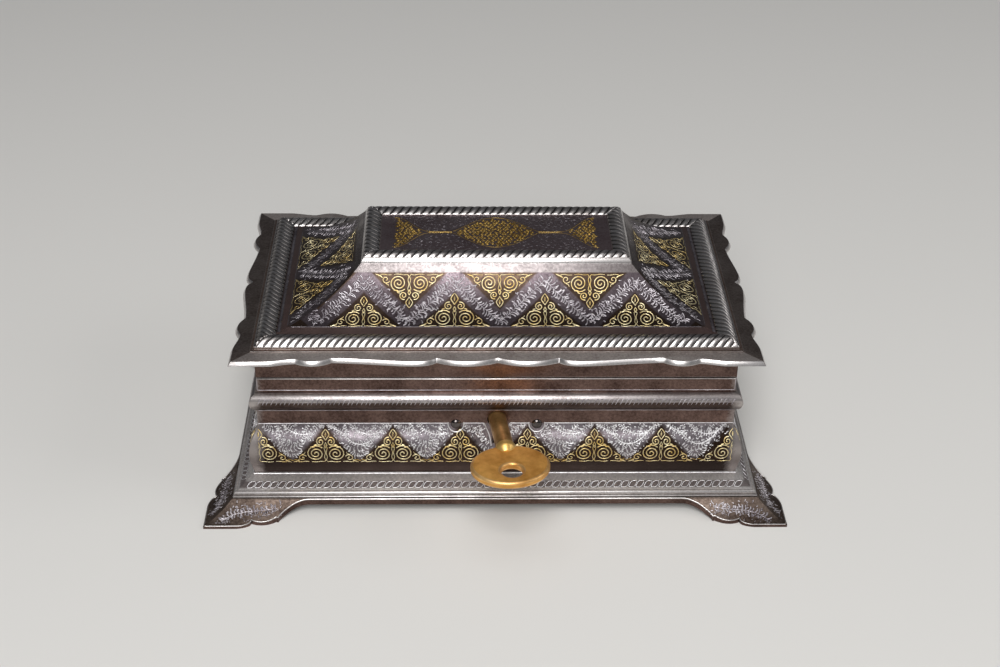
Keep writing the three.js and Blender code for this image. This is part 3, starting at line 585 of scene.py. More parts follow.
def wall_section():
    face = [(BAND_OUT, TORUS_BOTTOM - SEAM)] + WALL_FACE
    inner = [(out - WALL_SHEET, z) for out, z in reversed(face)]
    return [(-0.15, RIM_TOP), (0, RIM_TOP - 0.2), (0, TORUS_BOTTOM - SEAM)] + face + inner + [
        (-WALL_SHEET, TORUS_BOTTOM - SEAM), (-WALL_SHEET, RIM_TOP),
    ]


def keyhole_corners(y):
    """The keyhole: a round head with a straight slot below it for the bit."""
    radius, half, low = 2.5, 1.2, KEY_Z - 6.0
    opening = math.asin(half / radius)
    made = [(KEY_X - half, y, low), (KEY_X + half, y, low)]
    for i in range(33):
        turn = opening - math.pi / 2 + (2 * math.pi - 2 * opening) * i / 32
        made.append((KEY_X + radius * math.cos(turn), y, KEY_Z + radius * math.sin(turn)))
    return made


def hinge_rooms(across, low, high):
    half = HINGE_HALF + 0.3
    return [room((s * HINGE_AT - half, -across - 2, low), (s * HINGE_AT + half, -across + 4, high)) for s in (-1, 1)]


for side, turn, along, across, top_along, top_across in SIDES:
    wall = strip(f"formed_wall_{side}", wall_section(), along, across)
    if side == "front":
        carve(wall, prism(keyhole_corners(-across - 5), (0, 8, 0)))
    if side == "back":
        carve(wall, *hinge_rooms(across, HINGE_Z - 1.8, RIM_TOP + 1))
    paint(wall, wall_long if side in ("front", "back") else wall_short, worn_and_highlight)
    ease(wall, 0.06)
    quiet(wall, along, across)
    wear(wall, lambda c, n: c.z > RIM_TOP - 0.25 and n.y < -0.3)
    settle(wall, turn, "base", f"wall_{side}", slot="russet_steel")

    torus = strip(
        f"half_round_{side}", bead((SEAM, TORUS_BOTTOM), (SEAM, TORUS_TOP), 1.85, 30), along, across,
    )
    # Painted highlight on the top of the half-round and painted shade under it.
    paint(torus, half_round_painted_light, worn_and_highlight)
    ease(torus, 0.1)
    quiet(torus, along, across)
    settle(torus, turn, "base", f"torus_moulding_{side}", slot="russet_steel")

    base = strip(
        f"bevelled_base_{side}",
        [(-4, 8.65), (-4, 7.25), (-1.4, 7.25), (2, 4.4)]
        + bead((6.7, 4.4), (6.7, 4.95), 0.35)
        + [(6.45, 4.95)]
        + bead((6.45, 4.95), (5.95, 5.98), 0.5)[1:]
        + [(2.0, 8.65)],
        along, across,
    )
    paint(base, silvered, worn_and_highlight)
    ease(base, 0.09)
    quiet(base, along, across)
    wear(base, lambda c, n: c.z < 5.9 and n.y < -0.25)
    settle(base, turn, "base", f"base_moulding_{side}", slot="russet_steel")


# Splayed skirt and its lobed feet


def flare_z(out):
    left = max(0.0, 14.0 - out) / 6.8
    return 0.75 + 3.65 * min(1.0, left) ** 1.6


def foot_gap(along, across):
    """Plan of what is open between two feet: hollow, cusp, lobe, cusp and toe."""
    hollow = arc_points(16, (along - 12.5, 7.5), (along - 8.55, 7.5), (along - 5.0, 10.9)) + [(along - 4.7, 11.5)]
    lobe = arc_points(14, (along - 4.6, 11.0), (along - 1.25, 13.7), (along + 2.1, 12.0))
    toe = arc_points(16, (along + 2.1, 12.0), (along + 2.1, 14.0), (along + 8.7, 14.3))
    right_half = hollow + lobe[1:] + toe[1:] + [(along + 8.7, 14.6)]
    corners = [(-x, -(across + out)) for x, out in reversed(right_half)]
    return corners + [(x, -(across + out)) for x, out in right_half]


for side, turn, along, across, top_along, top_across in SIDES:
    top = [(7.2 + 6.8 * i / 26, flare_z(7.2 + 6.8 * i / 26)) for i in range(27)]
    under = [(out, max(0.0, z - 1.5)) for out, z in reversed(top)]
    skirt = strip(f"splayed_skirt_{side}", [(2, 4.4)] + top + under + [(2, 2.9)], along, across)
    carve(skirt, prism([(x, y, -0.3) for x, y in foot_gap(along, across)], (0, 0, 5.0)))
    paint(skirt, foot_steel, russet, worn_and_highlight)
    wear(skirt, lambda c, n: n.z < 0.3 and -c.y > across + 7.3, 1)
    ease(skirt, 0.26, segments=3)
    quiet(skirt, along, across)
    settle(skirt, turn, "base", f"foot_skirt_{side}", slot="worn_steel")


# Lid: skirt, scalloped flange, hollow slopes and platform


def lobe_points(start, end, crest):
    return arc_points(14, start, ((start[0] + end[0]) / 2, 2 * crest - (start[1] + end[1]) / 2), end)


def scallops(along, long):
    """Edge of the flange from its middle to its corner, as places along and offsets out."""
    corner = along + 5.75
    corner_end = corner - (9.0 if long else 6.0)
    valley = corner_end - (7.3 if long else 7.0)
    small_end = valley - (8.9 if long else 8.3)
    middle_end = 15.0 if long else 0.0
    lean = (small_end - middle_end) / 3
    wide = curve_points(
        18, (middle_end, 4.1), (middle_end + lean / 3, 7.4), (middle_end + 1.5 * lean, 4.6), (small_end, 4.1),
    )
    small = lobe_points((small_end, 4.1), (valley, 4.6), 5.7)
    hollow = curve_points(
        14, (valley, 4.6), (valley + 7.3 / 3, 4.6), (corner_end - 7.3 / 3, 5.75), (corner_end, 5.75),
    )
    middle = lobe_points((0, 4.1), (middle_end, 4.1), 5.75) if long else wide[:1]
    return middle + wide[1:] + small[1:] + hollow[1:] + [(corner - MITRE_GAP / 2, 5.75)]


def slope_z(share):
    return SLOPE_FOOT + 6.5 * share + 5.8 * share ** 3


for side, turn, along, across, top_along, top_across in SIDES:
    skirt = strip(
        f"lid_apron_{side}", [(0, LID_BOTTOM), (0, FLANGE_BOTTOM), (-1.4, FLANGE_BOTTOM), (-1.4, LID_BOTTOM)],
        along, across,
    )
    if side == "back":
        carve(skirt, *hinge_rooms(across, LID_BOTTOM - 1, HINGE_Z + 1.8))
    paint(skirt, russet, worn_and_highlight)
    ease(skirt, 0.1)
    quiet(skirt, along, across)
    settle(skirt, turn, "lid", f"lid_skirt_{side}", slot="russet_steel")

    edge = [(x, -(across + out)) for x, out in scallops(along, side in ("front", "back"))]
    inner = along - 8.55
    lip = [(-x, y) for x, y in reversed(edge[1:])] + edge
    plan = lip + [(inner, 8.5 - across), (-inner, 8.5 - across)]
    flange = extrude(outline(f"scalloped_flange_{side}", [(x, y, FLANGE_BOTTOM) for x, y in plan]), (0, 0, 1.4))
    # The edge is filed to a slant that faces up and out: its top is drawn in.
    upper = [v for v in flange.data.vertices if v.co.z > (FLANGE_BOTTOM + 0.7) * MM]
    for i, (x, y) in enumerate(lip[1:-1], 1):
        way = Vector((lip[i + 1][0] - lip[i - 1][0], lip[i + 1][1] - lip[i - 1][1])).normalized()
        vertex = min(upper, key=lambda v: (v.co.x / MM - x) ** 2 + (v.co.y / MM - y) ** 2)
        vertex.co += Vector((-way.y, way.x, 0)) * 0.6 * MM
    for s in (-1, 1):
        x, y = lip[-1] if s > 0 else lip[0]
        vertex = min(upper, key=lambda v: (v.co.x / MM - x) ** 2 + (v.co.y / MM - y) ** 2)
        vertex.co += Vector((-s, 1, 0)) * 0.6 * MM
    # Its lower arris is eased away under the plate.
    for vertex in flange.data.vertices:
        if vertex.co.z < (FLANGE_BOTTOM + 0.7) * MM and -vertex.co.y / MM > across + 3:
            vertex.co.z += 0.3 * MM
    # The ends take the darker copy of the flange steel: painted shade.
    paint(flange, dulled if side in ("front", "back") else darker_steel, worn_and_highlight)
    ease(flange, 0.07)
    wear(flange, lambda c, n: n.z < 0.8 and -c.y > across + 3)
    quiet(flange, along, across)
    settle(flange, turn, "lid", f"lid_flange_{side}", slot="worn_steel")

    run = across - SLOPE_IN - top_across
    along_run = along - SLOPE_IN - top_along
    # It starts under the rope, so its first edge is hidden.
    face = [(-0.6, FLANGE_TOP), (-0.6, SLOPE_FOOT - 0.6 * 6.5 / run), (0, SLOPE_FOOT)]
    lower = [(2.5, FLANGE_TOP)]
    for i in range(1, 37):
        share = i / 36
        z = slope_z(share)
        face.append((share * run, z))
        if z - 1.6 > FLANGE_TOP + 0.1 and share * run > 2.8:
            lower.append((share * run, z - 1.6))
    face.append((run + 1, PLATFORM_BOTTOM))
    lower.append((run + 1, PLATFORM_BOTTOM - 1.6))
    slope = strip(
        f"hollow_slope_{side}", [(-SLOPE_IN - inward, z) for inward, z in face + lower[::-1]], along, across,
        mitres(along, across, along_run / run, -SLOPE_IN),
    )
    paint(slope, slope_long if side in ("front", "back") else slope_short, russet, worn_and_highlight)
    ease(slope, 0.1)
    wear(slope, lambda c, n: n.z < -0.1, 1)
    quiet(slope, along, across, along_run / run, -SLOPE_IN)
    wear(slope, lambda c, n: c.z < SLOPE_FOOT + 0.3, 0)
    settle(slope, turn, "lid", f"lid_slope_{side}", slot="russet_steel")

platform = extrude(outline("platform_plate", [
    (-34.2, -14.25, PLATFORM_BOTTOM), (34.2, -14.25, PLATFORM_BOTTOM),
    (34.2, 14.25, PLATFORM_BOTTOM), (-34.2, 14.25, PLATFORM_BOTTOM),
]), (0, 0, 1.1))
# The plate's edge is filed to a slant too.
for vertex in platform.data.vertices:
    if vertex.co.z > (PLATFORM_BOTTOM + 0.5) * MM:
        vertex.co.x *= (34.2 - 0.66) / 34.2
        vertex.co.y *= (14.25 - 0.66) / 14.25
paint(platform, platform_steel, worn_and_highlight)
ease(platform, 0.12)
wear(platform, lambda c, n: abs(n.z) < 0.9)
settle(platform, 0, "lid", "top_plate", slot="russet_steel")


# Roped borders


def strand(name, section, across, pitch, first, lean, cut, along_steps=12):
    """One leaning strand over the bar: a broad crest between two narrow grooves, with a fine filed
    line beside it. The section runs from its front foot to its back one."""
    steps = len(section) - 1
    deselect()
    bpy.ops.mesh.primitive_grid_add(x_subdivisions=along_steps, y_subdivisions=steps, size=0.01)
    piece = bpy.context.object
    piece.name = name
    piece.data.name = name
    groove_patina_and_shade = piece.data.attributes.new("groove_patina_and_shade", "FLOAT", "POINT")
    for vertex in piece.data.vertices:
        u = vertex.co.x / 0.01
        share = vertex.co.y / 0.01 + 0.5
        out, z = section[round(share * steps)]
        depth = abs(2 * u) ** 3.6 * min(1.0, 6 * share) * min(1.0, 6 * (1 - share))
        line = math.exp(-((u - 0.22) / 0.06) ** 2)
        place = first + (u + 0.5) * pitch + lean * (share ** 1.25 - 0.5)
        vertex.co = Vector((place, -(across + out), z - cut * depth - 0.04 * line)) * MM
        # The attribute paints shade into the grooves, the filed line and the back half of the strand, together with the
        # browning there.
        groove_patina_and_shade.data[vertex.index].value = min(1.0, 1.5 * abs(2 * u) ** 4 + 0.35 * line + 0.4 * max(0.0, share - 0.55))
    return piece


def rope(name, along, across, outer, width, bottom, base, section, pitch, lean, cut, lip=0.0):
    """Strands side by side, cut at the mitres and closed underneath, on a flat bar. A lip is a thin
    step at the foot of the bar, this far out."""
    count = 2 * math.ceil((along + 1.3 + pitch) / pitch)
    piece = strand(name, section, across, pitch, -count / 2 * pitch, lean, cut)
    pick(piece)
    row = piece.modifiers.new("strands", "ARRAY")
    row.count = count
    row.use_relative_offset = False
    row.use_constant_offset = True
    row.constant_offset_displace = (pitch * MM, 0, 0)
    row.use_merge_vertices = True
    row.merge_threshold = 0.00001
    bpy.ops.object.modifier_apply(modifier=row.name)
    bpy.ops.object.mode_set(mode="EDIT")
    bpy.ops.mesh.select_all(action="SELECT")
    bpy.ops.mesh.normals_make_consistent(inside=False)
    bpy.ops.object.mode_set(mode="OBJECT")
    if sum(face.normal.z for face in piece.data.polygons) < 0:
        piece.data.flip_normals()
    trim(piece, mitres(along, across), fill=False)
    pick(piece)
    bpy.ops.object.mode_set(mode="EDIT")
    bpy.ops.mesh.select_all(action="DESELECT")
    bpy.ops.mesh.select_non_manifold(extend=False)
    bpy.ops.mesh.extrude_region_move(TRANSFORM_OT_translate={"value": (0, 0, -4 * MM)})
    bpy.ops.object.mode_set(mode="OBJECT")
    floor = (bottom + base - min(0.3, base * 0.8)) * MM
    for vertex in piece.data.vertices:
        vertex.co.z = max(vertex.co.z, floor)
    bpy.ops.object.mode_set(mode="EDIT")
    bpy.ops.mesh.edge_face_add()
    bpy.ops.object.mode_set(mode="OBJECT")
    section = [(outer - width, bottom), (outer, bottom), (outer, bottom + base), (outer - width, bottom + base)]
    if lip:
        section[1:2] = [(lip, bottom), (lip, bottom + 0.22), (outer, bottom + 0.26)]
    bar = strip("bar", section, along, across)
    paint(bar, bar_steel, worn_and_highlight)
    ease(bar, 0.07)
    quiet(bar, along, across)
    paint(piece, rope_steel)
    pick(piece)
    bpy.ops.object.shade_smooth()
    bar.select_set(True)
    bpy.ops.object.join()
    return piece


LOWER_STRAND = curve_points(9, (-0.2, 45.2), (-0.62, 45.92), (-1.35, 46.9), (-2.3, 46.97)) + curve_points(
    6, (-2.3, 46.97), (-3.2, 46.97), (-4.4, 46.5), (-5.15, 46.04),
)[1:]
UPPER_STRAND = curve_points(7, (-0.66, 59.5), (-0.85, 59.95), (-1.35, 60.4), (-2.1, 60.4)) + curve_points(
    6, (-2.1, 60.4), (-3.0, 60.4), (-4.0, 60.05), (-4.55, 59.5),
)[1:]

for side, turn, along, across, top_along, top_across in SIDES:
    lower = rope(
        f"roped_border_{side}", along, across, -0.1, 5.1, FLANGE_TOP, 0.75, LOWER_STRAND, 1.92, 3.9, 0.5, lip=0.85,
    )
    settle(lower, turn, "lid", f"lower_rope_{side}", slot="worn_steel")
    upper = rope(
        f"roped_platform_{side}", top_along, top_across, -0.6, 4.05, PLATFORM_TOP, 0.12, UPPER_STRAND, 2.02, 2.6, 0.36,
    )
    settle(upper, turn, "lid", f"upper_rope_{side}", slot="worn_steel")


# Wire inlay, drawn flat in mm and laid on the surface


def spiral(u, v, radius, turns, out_angle, hand, start=0.16, thick=1.0):
    """A scroll from its eye outward; it ends at out_angle, turning by hand, 1 or -1."""
    steps = max(8, round(turns * 15))
    made = []
    for i in range(steps + 1):
        share = i / steps
        angle = out_angle - hand * 2 * math.pi * turns * (1 - share)
        reach = radius * (start + (1 - start) * share)
        made.append((u + reach * math.cos(angle), v + reach * math.sin(angle), thick))
    made[0] = (*made[0][:2], thick * 1.5)
    return made


def leaf(u, v, angle, length, thick=1.0, curl=0.8):
    """A comma of wire: a thin foot that bends over into a full head."""
    made = [(u, v, thick * 0.4)]
    for turned, size in ((0.0, 0.65), (0.3, 1.05), (0.65, 1.5), (1.0, 1.05)):
        bent = angle + curl * turned
        u, v = u + length / 4 * math.cos(bent), v + length / 4 * math.sin(bent)
        made.append((u, v, thick * size))
    return made


def through(corners, steps=5):
    """A smooth curve through these points."""
    ends = [corners[0]] + list(corners) + [corners[-1]]
    made = []
    for a, b, c, d in zip(ends, ends[1:], ends[2:], ends[3:]):
        for i in range(steps):
            t = i / steps
            made.append(tuple(
                0.5 * (2 * b[j] + (c[j] - a[j]) * t + (2 * a[j] - 5 * b[j] + 4 * c[j] - d[j]) * t ** 2
                       + (3 * b[j] - a[j] - 3 * c[j] + d[j]) * t ** 3)
                for j in range(len(b))
            ))
    return made + [tuple(corners[-1])]


def mirrored(lines):
    return [[(-u, v, r) for u, v, r in line] for line in lines]


def moved(lines, du, dv=0.0, su=1.0, sv=1.0):
    return [[(u * su + du, v * sv + dv, r) for u, v, r in line] for line in lines]


def half_motif(half, tall, big, small, foot):
    """Right half of a gold palmette: big scroll on the foot line, small scroll above it, foot
    scroll and pointed leaf at the corner, hooks along the outline, and a drop at the top."""
    lines = [
        spiral(*big, 2.4, math.radians(135), 1, 0.1),
        spiral(*small, 1.5, math.radians(105), 1, 0.16),
        spiral(*foot, 1.2, math.radians(155), 1, 0.16, 0.85),
    ]
    bx, by, br = big
    sx, sy, sr = small
    fx, fy, fr = foot
    # The stem between the two big scrolls, and a lozenge under the small ones.
    lines.append(through([(0.45, 0.1, 0.6), (0.1, 0.7, 0.7), (0.36, by * 0.62, 0.6), (0.1, by + 0.3, 0.7), (0.4, by + br * 0.7, 0.6), (0.0, by + br - 0.1, 0.5)], 3))
    lines.append([(0.0, sy - sr - 0.5, 0.6), (0.34, sy - sr * 0.75, 1), (0.0, sy - 0.1, 0.6)])
    # Small hooks where one scroll meets the next.
    lines.append(through([
        (sx + sr * 0.85, sy - sr * 0.6, 0.8), (sx + sr + 0.42, sy - sr * 0.75, 1.2), (sx + sr + 0.5, sy - sr - 0.25, 1.1),
        (bx + br * 0.55, by + br * 0.84, 0.7),
    ], 3))
    lines.append([(fx - 0.75, fy + fr + 0.75, 0.4), (fx - 0.55, fy + fr + 0.25, 0.7), (fx + 0.1, fy + fr, 0.7)])
    lines.append([(fx + fr * 0.8, fy - 0.45, 0.9), (half - 1.35, 0.52, 1.7), (half - 0.7, 0.28, 1.5), (half, 0.0, 0.4)])
    # The foot line, worn through in places.
    lines.append(through([(0.35, 0.1, 0.45), (bx * 0.5, 0.2, 0.55), (bx, 0.0, 0.6), (bx + br * 0.5, 0.14, 0.4)], 3))
    lines.append(through([(bx + br * 0.75, 0.2, 0.4), (fx - fr * 0.4, 0.22, 0.55), (fx + 0.3, 0.05, 0.6), (half - 1.2, 0.12, 0.5)], 3))
    # The drop, with a smaller one inside.
    low = sy + sr * 0.35
    drop = tall - low
    lines.append(through([
        (0.0, low, 0.7), (0.36, low + 0.2 * drop, 0.9), (0.88, low + 0.48 * drop, 1), (0.56, low + 0.76 * drop, 1), (0.0, tall, 0.5),
    ], 4))
    lines.append([(0.0, low + 0.3 * drop, 0.5), (0.0, low + 0.52 * drop, 2.0), (0.0, low + 0.74 * drop, 0.4)])
    return lines


SLOPE_HALF = half_motif(8.8, 9.2, (2.8, 2.4, 2.32), (1.5, 5.75, 1.12), (6.1, 1.4, 1.1))
WALL_HALF = half_motif(8.3, 8.9, (2.52, 2.72, 2.36), (1.3, 5.95, 1.12), (5.95, 1.4, 1.12))
SLOPE_MOTIF = SLOPE_HALF + mirrored(SLOPE_HALF)
WALL_MOTIF = WALL_HALF + mirrored(WALL_HALF)


def sprig(points, length, gap, thick=1.0, lean=0.75, seed=1, stem=0.75, sides=(1, -1), curl=0.8):
    """A stem through these points with commas beside it, as a fern. Lengths are given for each
    side, at the start and at the end."""
    chance = random.Random(seed)
    lines = [[(u, v, stem * thick) for u, v in points]] if stem else []
    total = sum(math.dist(a, b) for a, b in zip(points, points[1:]))
    walked, next_at = 0.0, gap / 2
    for a, b in zip(points, points[1:]):
        span = math.dist(a, b)
        way = math.atan2(b[1] - a[1], b[0] - a[0])
        while next_at < walked + span:
            share = (next_at - walked) / span
            u, v = a[0] + (b[0] - a[0]) * share, a[1] + (b[1] - a[1]) * share
            for s in sides:
                start, end = length[s] if isinstance(length, dict) else (length, length)
                size = (start + (end - start) * next_at / total) * chance.uniform(0.6, 1.15)
                turn = way + s * (lean + chance.uniform(-0.35, 0.35))
                lines.append(leaf(u, v, turn, size, thick * chance.uniform(0.8, 1.15), curl * s))
            next_at += gap
        walked += span
    return lines


def strewn(chance, count, width, heights, size, thick, fits):
    """Small commas strewn at random over a strip, wherever they fit."""
    lines = []
    for i in range(count):
        u, v = chance.uniform(*width), chance.uniform(*heights)
        if fits(u, v):
            length = size * chance.uniform(0.7, 1.25)
            lines.append(leaf(u, v, chance.uniform(0, 6.28), length, thick, chance.choice((-1.2, 1.2))))
    return lines


def lay(name, lines, surface, turn, body, material, radius, flat=0.24):
    """Wires on a surface: drawn flat, then beaten down on it, so each stands a little proud."""
    drawn = bpy.data.curves.new(name, "CURVE")
    drawn.dimensions = "3D"
    drawn.bevel_depth = radius
    drawn.bevel_resolution = 0
    drawn.use_fill_caps = True
    for line in lines:
        thread = drawn.splines.new("POLY")
        thread.points.add(len(line) - 1)
        for spot, (u, v, size) in zip(thread.points, line):
            spot.co = (u, v, 0.0, 1.0)
            spot.radius = size
    piece = bpy.data.objects.new(name, drawn)
    scene.collection.objects.link(piece)
    pick(piece)
    bpy.ops.object.convert(target="MESH")
    piece = bpy.context.object
    for vertex in piece.data.vertices:
        u, v, rise = vertex.co
        vertex.co = Vector(surface(u, v, rise * flat)) * MM
    pick(piece)
    bpy.ops.object.mode_set(mode="EDIT")
    bpy.ops.mesh.select_all(action="SELECT")
    bpy.ops.mesh.normals_make_consistent(inside=False)
    bpy.ops.object.mode_set(mode="OBJECT")
    bpy.ops.object.shade_smooth()
    paint(piece, material)
    return settle(piece, turn, body)


WALL_DOWN = [(-z, out) for out, z in [(BAND_OUT, 27.2)] + WALL_FACE]


def wall_out(z):
    """How far the wall's face stands out at a height, and the way it faces there."""
    at = min(max(1, bisect_left(WALL_DOWN, (-z, 0))), len(WALL_DOWN) - 1)
    (a, out_a), (b, out_b) = WALL_DOWN[at - 1], WALL_DOWN[at]
    share = min(1.0, max(0.0, (-z - a) / (b - a)))
    return out_a + (out_b - out_a) * share, Vector((b - a, out_b - out_a)).normalized()


def on_wall(across):
    def place(u, v, lift):
        out, normal = wall_out(v)
        return u, -(across + out + normal.x * lift), v + normal.y * lift
    return place


def on_slope(across, run):
    """Places on a hollow slope by the way up it from the rope."""
    ways, shares = [0.0], [0.0]
    for i in range(1, 121):
        share = i / 120
        step = math.hypot(run / 120, slope_z(share) - slope_z(share - 1 / 120))
        ways.append(ways[-1] + step)
        shares.append(share)
    length = ways[-1]

    def place(u, v, lift):
        way = v / SLOPE_WAY * length
        at = min(max(1, bisect_left(ways, way)), 120)
        share = shares[at - 1] + (way - ways[at - 1]) / (ways[at] - ways[at - 1]) / 120
        normal = Vector(((6.5 + 17.4 * share * share) / run, 1)).normalized()
        return u, -(across - SLOPE_IN - share * run + normal.x * lift), slope_z(share) + normal.y * lift
    return place


def on_torus(across):
    """Places round the half-round moulding by the way up from its middle."""
    def place(u, v, lift):
        turn = v / 2.2
        return (
            u, -(across + SEAM + (1.85 + lift) * math.cos(turn)),
            (TORUS_TOP + TORUS_BOTTOM) / 2 + (2.545 + lift) * math.sin(turn),
        )
    return place


def on_bevel(across):
    """Places on the bevel of the base by the way down it."""
    def place(u, v, lift):
        share = v / 4.826
        return u, -(across + 2.0 + 4.0 * share + 0.56 * lift), 8.65 - 2.7 * share + 0.83 * lift
    return place


def on_flare(across):
    def place(u, v, lift):
        return u, -(across + v), flare_z(v) + lift
    return place


def on_rim(across):
    def place(u, v, lift):
        return u, -(across + lift), v
    return place


def flat_at(z):
    def place(u, v, lift):
        return u, v, z + lift
    return place


GOLD, SILVER = 0.15, 0.125

for number, (side, turn, along, across, top_along, top_across) in enumerate(SIDES):
    long = side in ("front", "back")

    # Slope of the lid: gold triangles up and down, with a silver fern that winds between them.
    run = across - SLOPE_IN - top_across
    along_run = along - SLOPE_IN - top_along
    spot = on_slope(across, run)
    foot, head = along - SLOPE_IN, top_along
    hip = lambda v: foot - (foot - head) * v / SLOPE_WAY
    pitch, shift = (SLOPE_PITCH, SLOPE_SHIFT if side == "front" else -SLOPE_SHIFT) if long else (23.2, 0.0)
    wide = 1.0 if long else 1.03
    count = 2 if long else 1
    gold_lines, silver_lines = [], []
    for i in range(-count, count):
        gold_lines += moved(SLOPE_MOTIF, shift + (i + 0.5) * pitch, 2.2, wide * (0.93, 1.0, 0.97, 0.95)[i + 2], (0.91, 1.0, 0.98, 0.96)[i + 2])
    for i in range(1 - count, count):
        gold_lines += moved(SLOPE_MOTIF, shift + i * pitch, 16.2, wide * (0.96, 0.93, 0.97)[i + 1], -(0.95, 0.93, 0.97)[i + 1])
    bends = [(shift + i * pitch / 2, 3.5 if i % 2 == 0 else 14.7) for i in range(-2 * count - 1, 2 * count + 2)]
    for i, (a, b) in enumerate(zip(bends, bends[1:])):
        way = [(a[0] + (b[0] - a[0]) * t / 8, a[1] + (b[1] - a[1]) * t / 8 + 0.16 * math.sin(t * 2.4)) for t in range(9)]
        silver_lines += sprig(way, 1.75, 0.72, 1.35, 0.85, seed=number * 97 + i, stem=0.45, curl=0.85)

    def in_band(u, v):
        beside = abs((u - shift) / pitch - round((u - shift) / pitch)) * pitch
        up = (pitch / 2 - beside) / 8.9 + (v - 2.2) / 9.2
        return up > 1.08 and beside / 8.7 + (16.2 - v) / 8.9 > 1.08

    silver_lines += strewn(random.Random(number + 7), 900 if long else 420, (-foot, foot), (2.7, 16.0), 0.85, 1.1, in_band)
    ends = hip(2.1) - 1.2
    dim_lines = [[(-ends, 2.05, 0.6), (ends, 2.05, 0.6)]]
    silver_lines = [
        line for line in silver_lines if all(abs(u) < hip(v) - 1.5 and 2.3 < v < 16.4 for u, v, _ in line)
    ]
    lay(f"gold_on_slope_{side}", gold_lines, spot, turn, "lid", gold, GOLD)
    lay(f"silver_on_slope_{side}", silver_lines, spot, turn, "lid", silver_fine, SILVER)

    # Wall: gold palmettes on the foot line, silver sprays in the arches between them.
    spot = on_wall(across)
    if long:
        pitch, shift = WALL_PITCH, WALL_SHIFT if side == "front" else -WALL_SHIFT
        centres = [shift + (i + 0.5) * pitch for i in range(-3, 3)]
    else:
        pitch, shift = 16.8, 0.0
        centres = [-pitch, 0.0, pitch]
    ends = along + 0.2
    gold_lines, silver_lines = [], []
    for u in centres:
        gold_lines += moved(WALL_MOTIF, u, 12.42)
    gold_lines += moved(WALL_HALF, -ends, 12.42, 0.98) + moved(mirrored(WALL_HALF), ends, 12.42, 0.98)
    arches = [-ends] + centres + [ends]
    dim_lines_wall = []
    for i, (a, b) in enumerate(zip(arches, arches[1:])):
        mid, seed = (a + b) / 2, number * 31 + i * 3
        dim_lines_wall.append(through([(mid - 1.7, 12.9, 0.6), (mid - 0.8, 13.3, 0.6), (mid, 12.95, 0.6), (mid + 0.8, 13.3, 0.6), (mid + 1.7, 12.9, 0.6)], 3))
        swag = through([
            (mid + 7.0, 22.5), (mid + 5.2, 20.7), (mid + 3.1, 18.8), (mid + 0.7, 17.75), (mid - 1.6, 18.2),
            (mid - 3.2, 19.5), (mid - 4.6, 20.7), (mid - 6.3, 21.5), (mid - 7.6, 22.5),
        ], 4)
        silver_lines += sprig(swag, {1: (0.8, 0.9), -1: (0.95, 0.95)}, 0.64, 0.95, 0.75, seed, 1.3)
        silver_lines += sprig(through([(mid + 4.9, 20.5), (mid + 3.0, 20.1), (mid + 1.0, 20.4), (mid - 0.9, 21.3), (mid - 1.9, 22.5)], 4), 0.85, 0.66, 1.0, 0.8, seed + 1, 1.0)
        silver_lines += sprig(through([(mid - 3.3, 19.7), (mid - 3.2, 20.9), (mid - 3.9, 22.4)], 4), 0.75, 0.66, 1.0, 0.8, seed + 2, 0.8)
        silver_lines += sprig(through([(mid + 3.0, 20.2), (mid + 3.3, 21.4), (mid + 4.2, 22.5)], 4), 0.7, 0.66, 1.0, 0.8, seed + 4, 0.8)
        for k in range(9):
            angle = math.radians(196 + 18.5 * k)
            start = (mid - 0.4 + 2.6 * math.cos(angle), 18.2 + 1.15 * math.sin(angle))
            silver_lines.append(leaf(*start, angle, 1.5 if 1 < k < 7 else 1.1, 1.05, 0.7))
            silver_lines.append(leaf(
                mid + 1.5 * math.cos(angle), 16.1 + 1.1 * math.sin(angle), angle, 1.0, 0.95, 0.8,
            ))
        for t in (-1, 1):
            silver_lines += sprig([(mid + t * 8.2, 22.3), (mid + t * 6.8, 22.0)], 0.7, 0.6, 1.1, 0.9, seed + 5 + t, 0.7)
    limit = lambda v: along + wall_out(v)[0] - 1.3
    under_gold = lambda u, v: min(abs(u - c) for c in arches) / 8.3 + (v - 12.4) / 9.0 < 1.03
    silver_lines += strewn(
        random.Random(number + 17), 1500 if long else 840, (-along, along), (13.2, 22.6), 0.62, 0.8,
        lambda u, v: not under_gold(u, v),
    )
    silver_lines = [
        line for line in silver_lines
        if all(abs(u) < limit(v) and 12.6 < v < 22.75 and not under_gold(u, v) for u, v, _ in line)
    ]
    gold_lines = [line for line in gold_lines if all(abs(u) < limit(v) + 1.0 for u, v, _ in line)]
    edge = along + 0.1
    if side == "front":
        def taken(u, v):
            rivet = min(math.hypot(u - RIVET_X, v - RIVET_Z), math.hypot(u + RIVET_X, v - RIVET_Z)) < 2.2
            return rivet or abs(u - KEY_X) < 1.75 + 0.36 * max(0.0, v - 18.5) and v > 17.0
        silver_lines = [line for line in silver_lines if not any(taken(u, v) for u, v, _ in line)]
        for a, b in ((-edge, -RIVET_X - 2.0), (-RIVET_X + 2.0, -3.2), (3.5, RIVET_X - 2.0), (RIVET_X + 2.0, edge)):
            silver_lines.append([(a, 22.85, 1.0), (b, 22.85, 1.0)])
        for x in (-RIVET_X, RIVET_X):
            silver_lines.append([
                (x + 2.0 * math.cos(math.radians(a)), RIVET_Z + 2.0 * math.sin(math.radians(a)), 1.5)
                for a in range(165, 376, 10)
            ])
        for t in (-1, 1):
            silver_lines.append(through([
                (KEY_X + t * 3.3, 22.9, 1.3), (KEY_X + t * 2.75, 21.6, 1.3), (KEY_X + t * 2.0, 20.0, 1.3),
                (KEY_X + t * 1.6, 18.4, 1.3), (KEY_X + t * 1.5, 17.3, 1.3),
            ]))
    else:
        silver_lines.append([(-edge, 22.85, 1.3), (edge, 22.85, 1.3)])
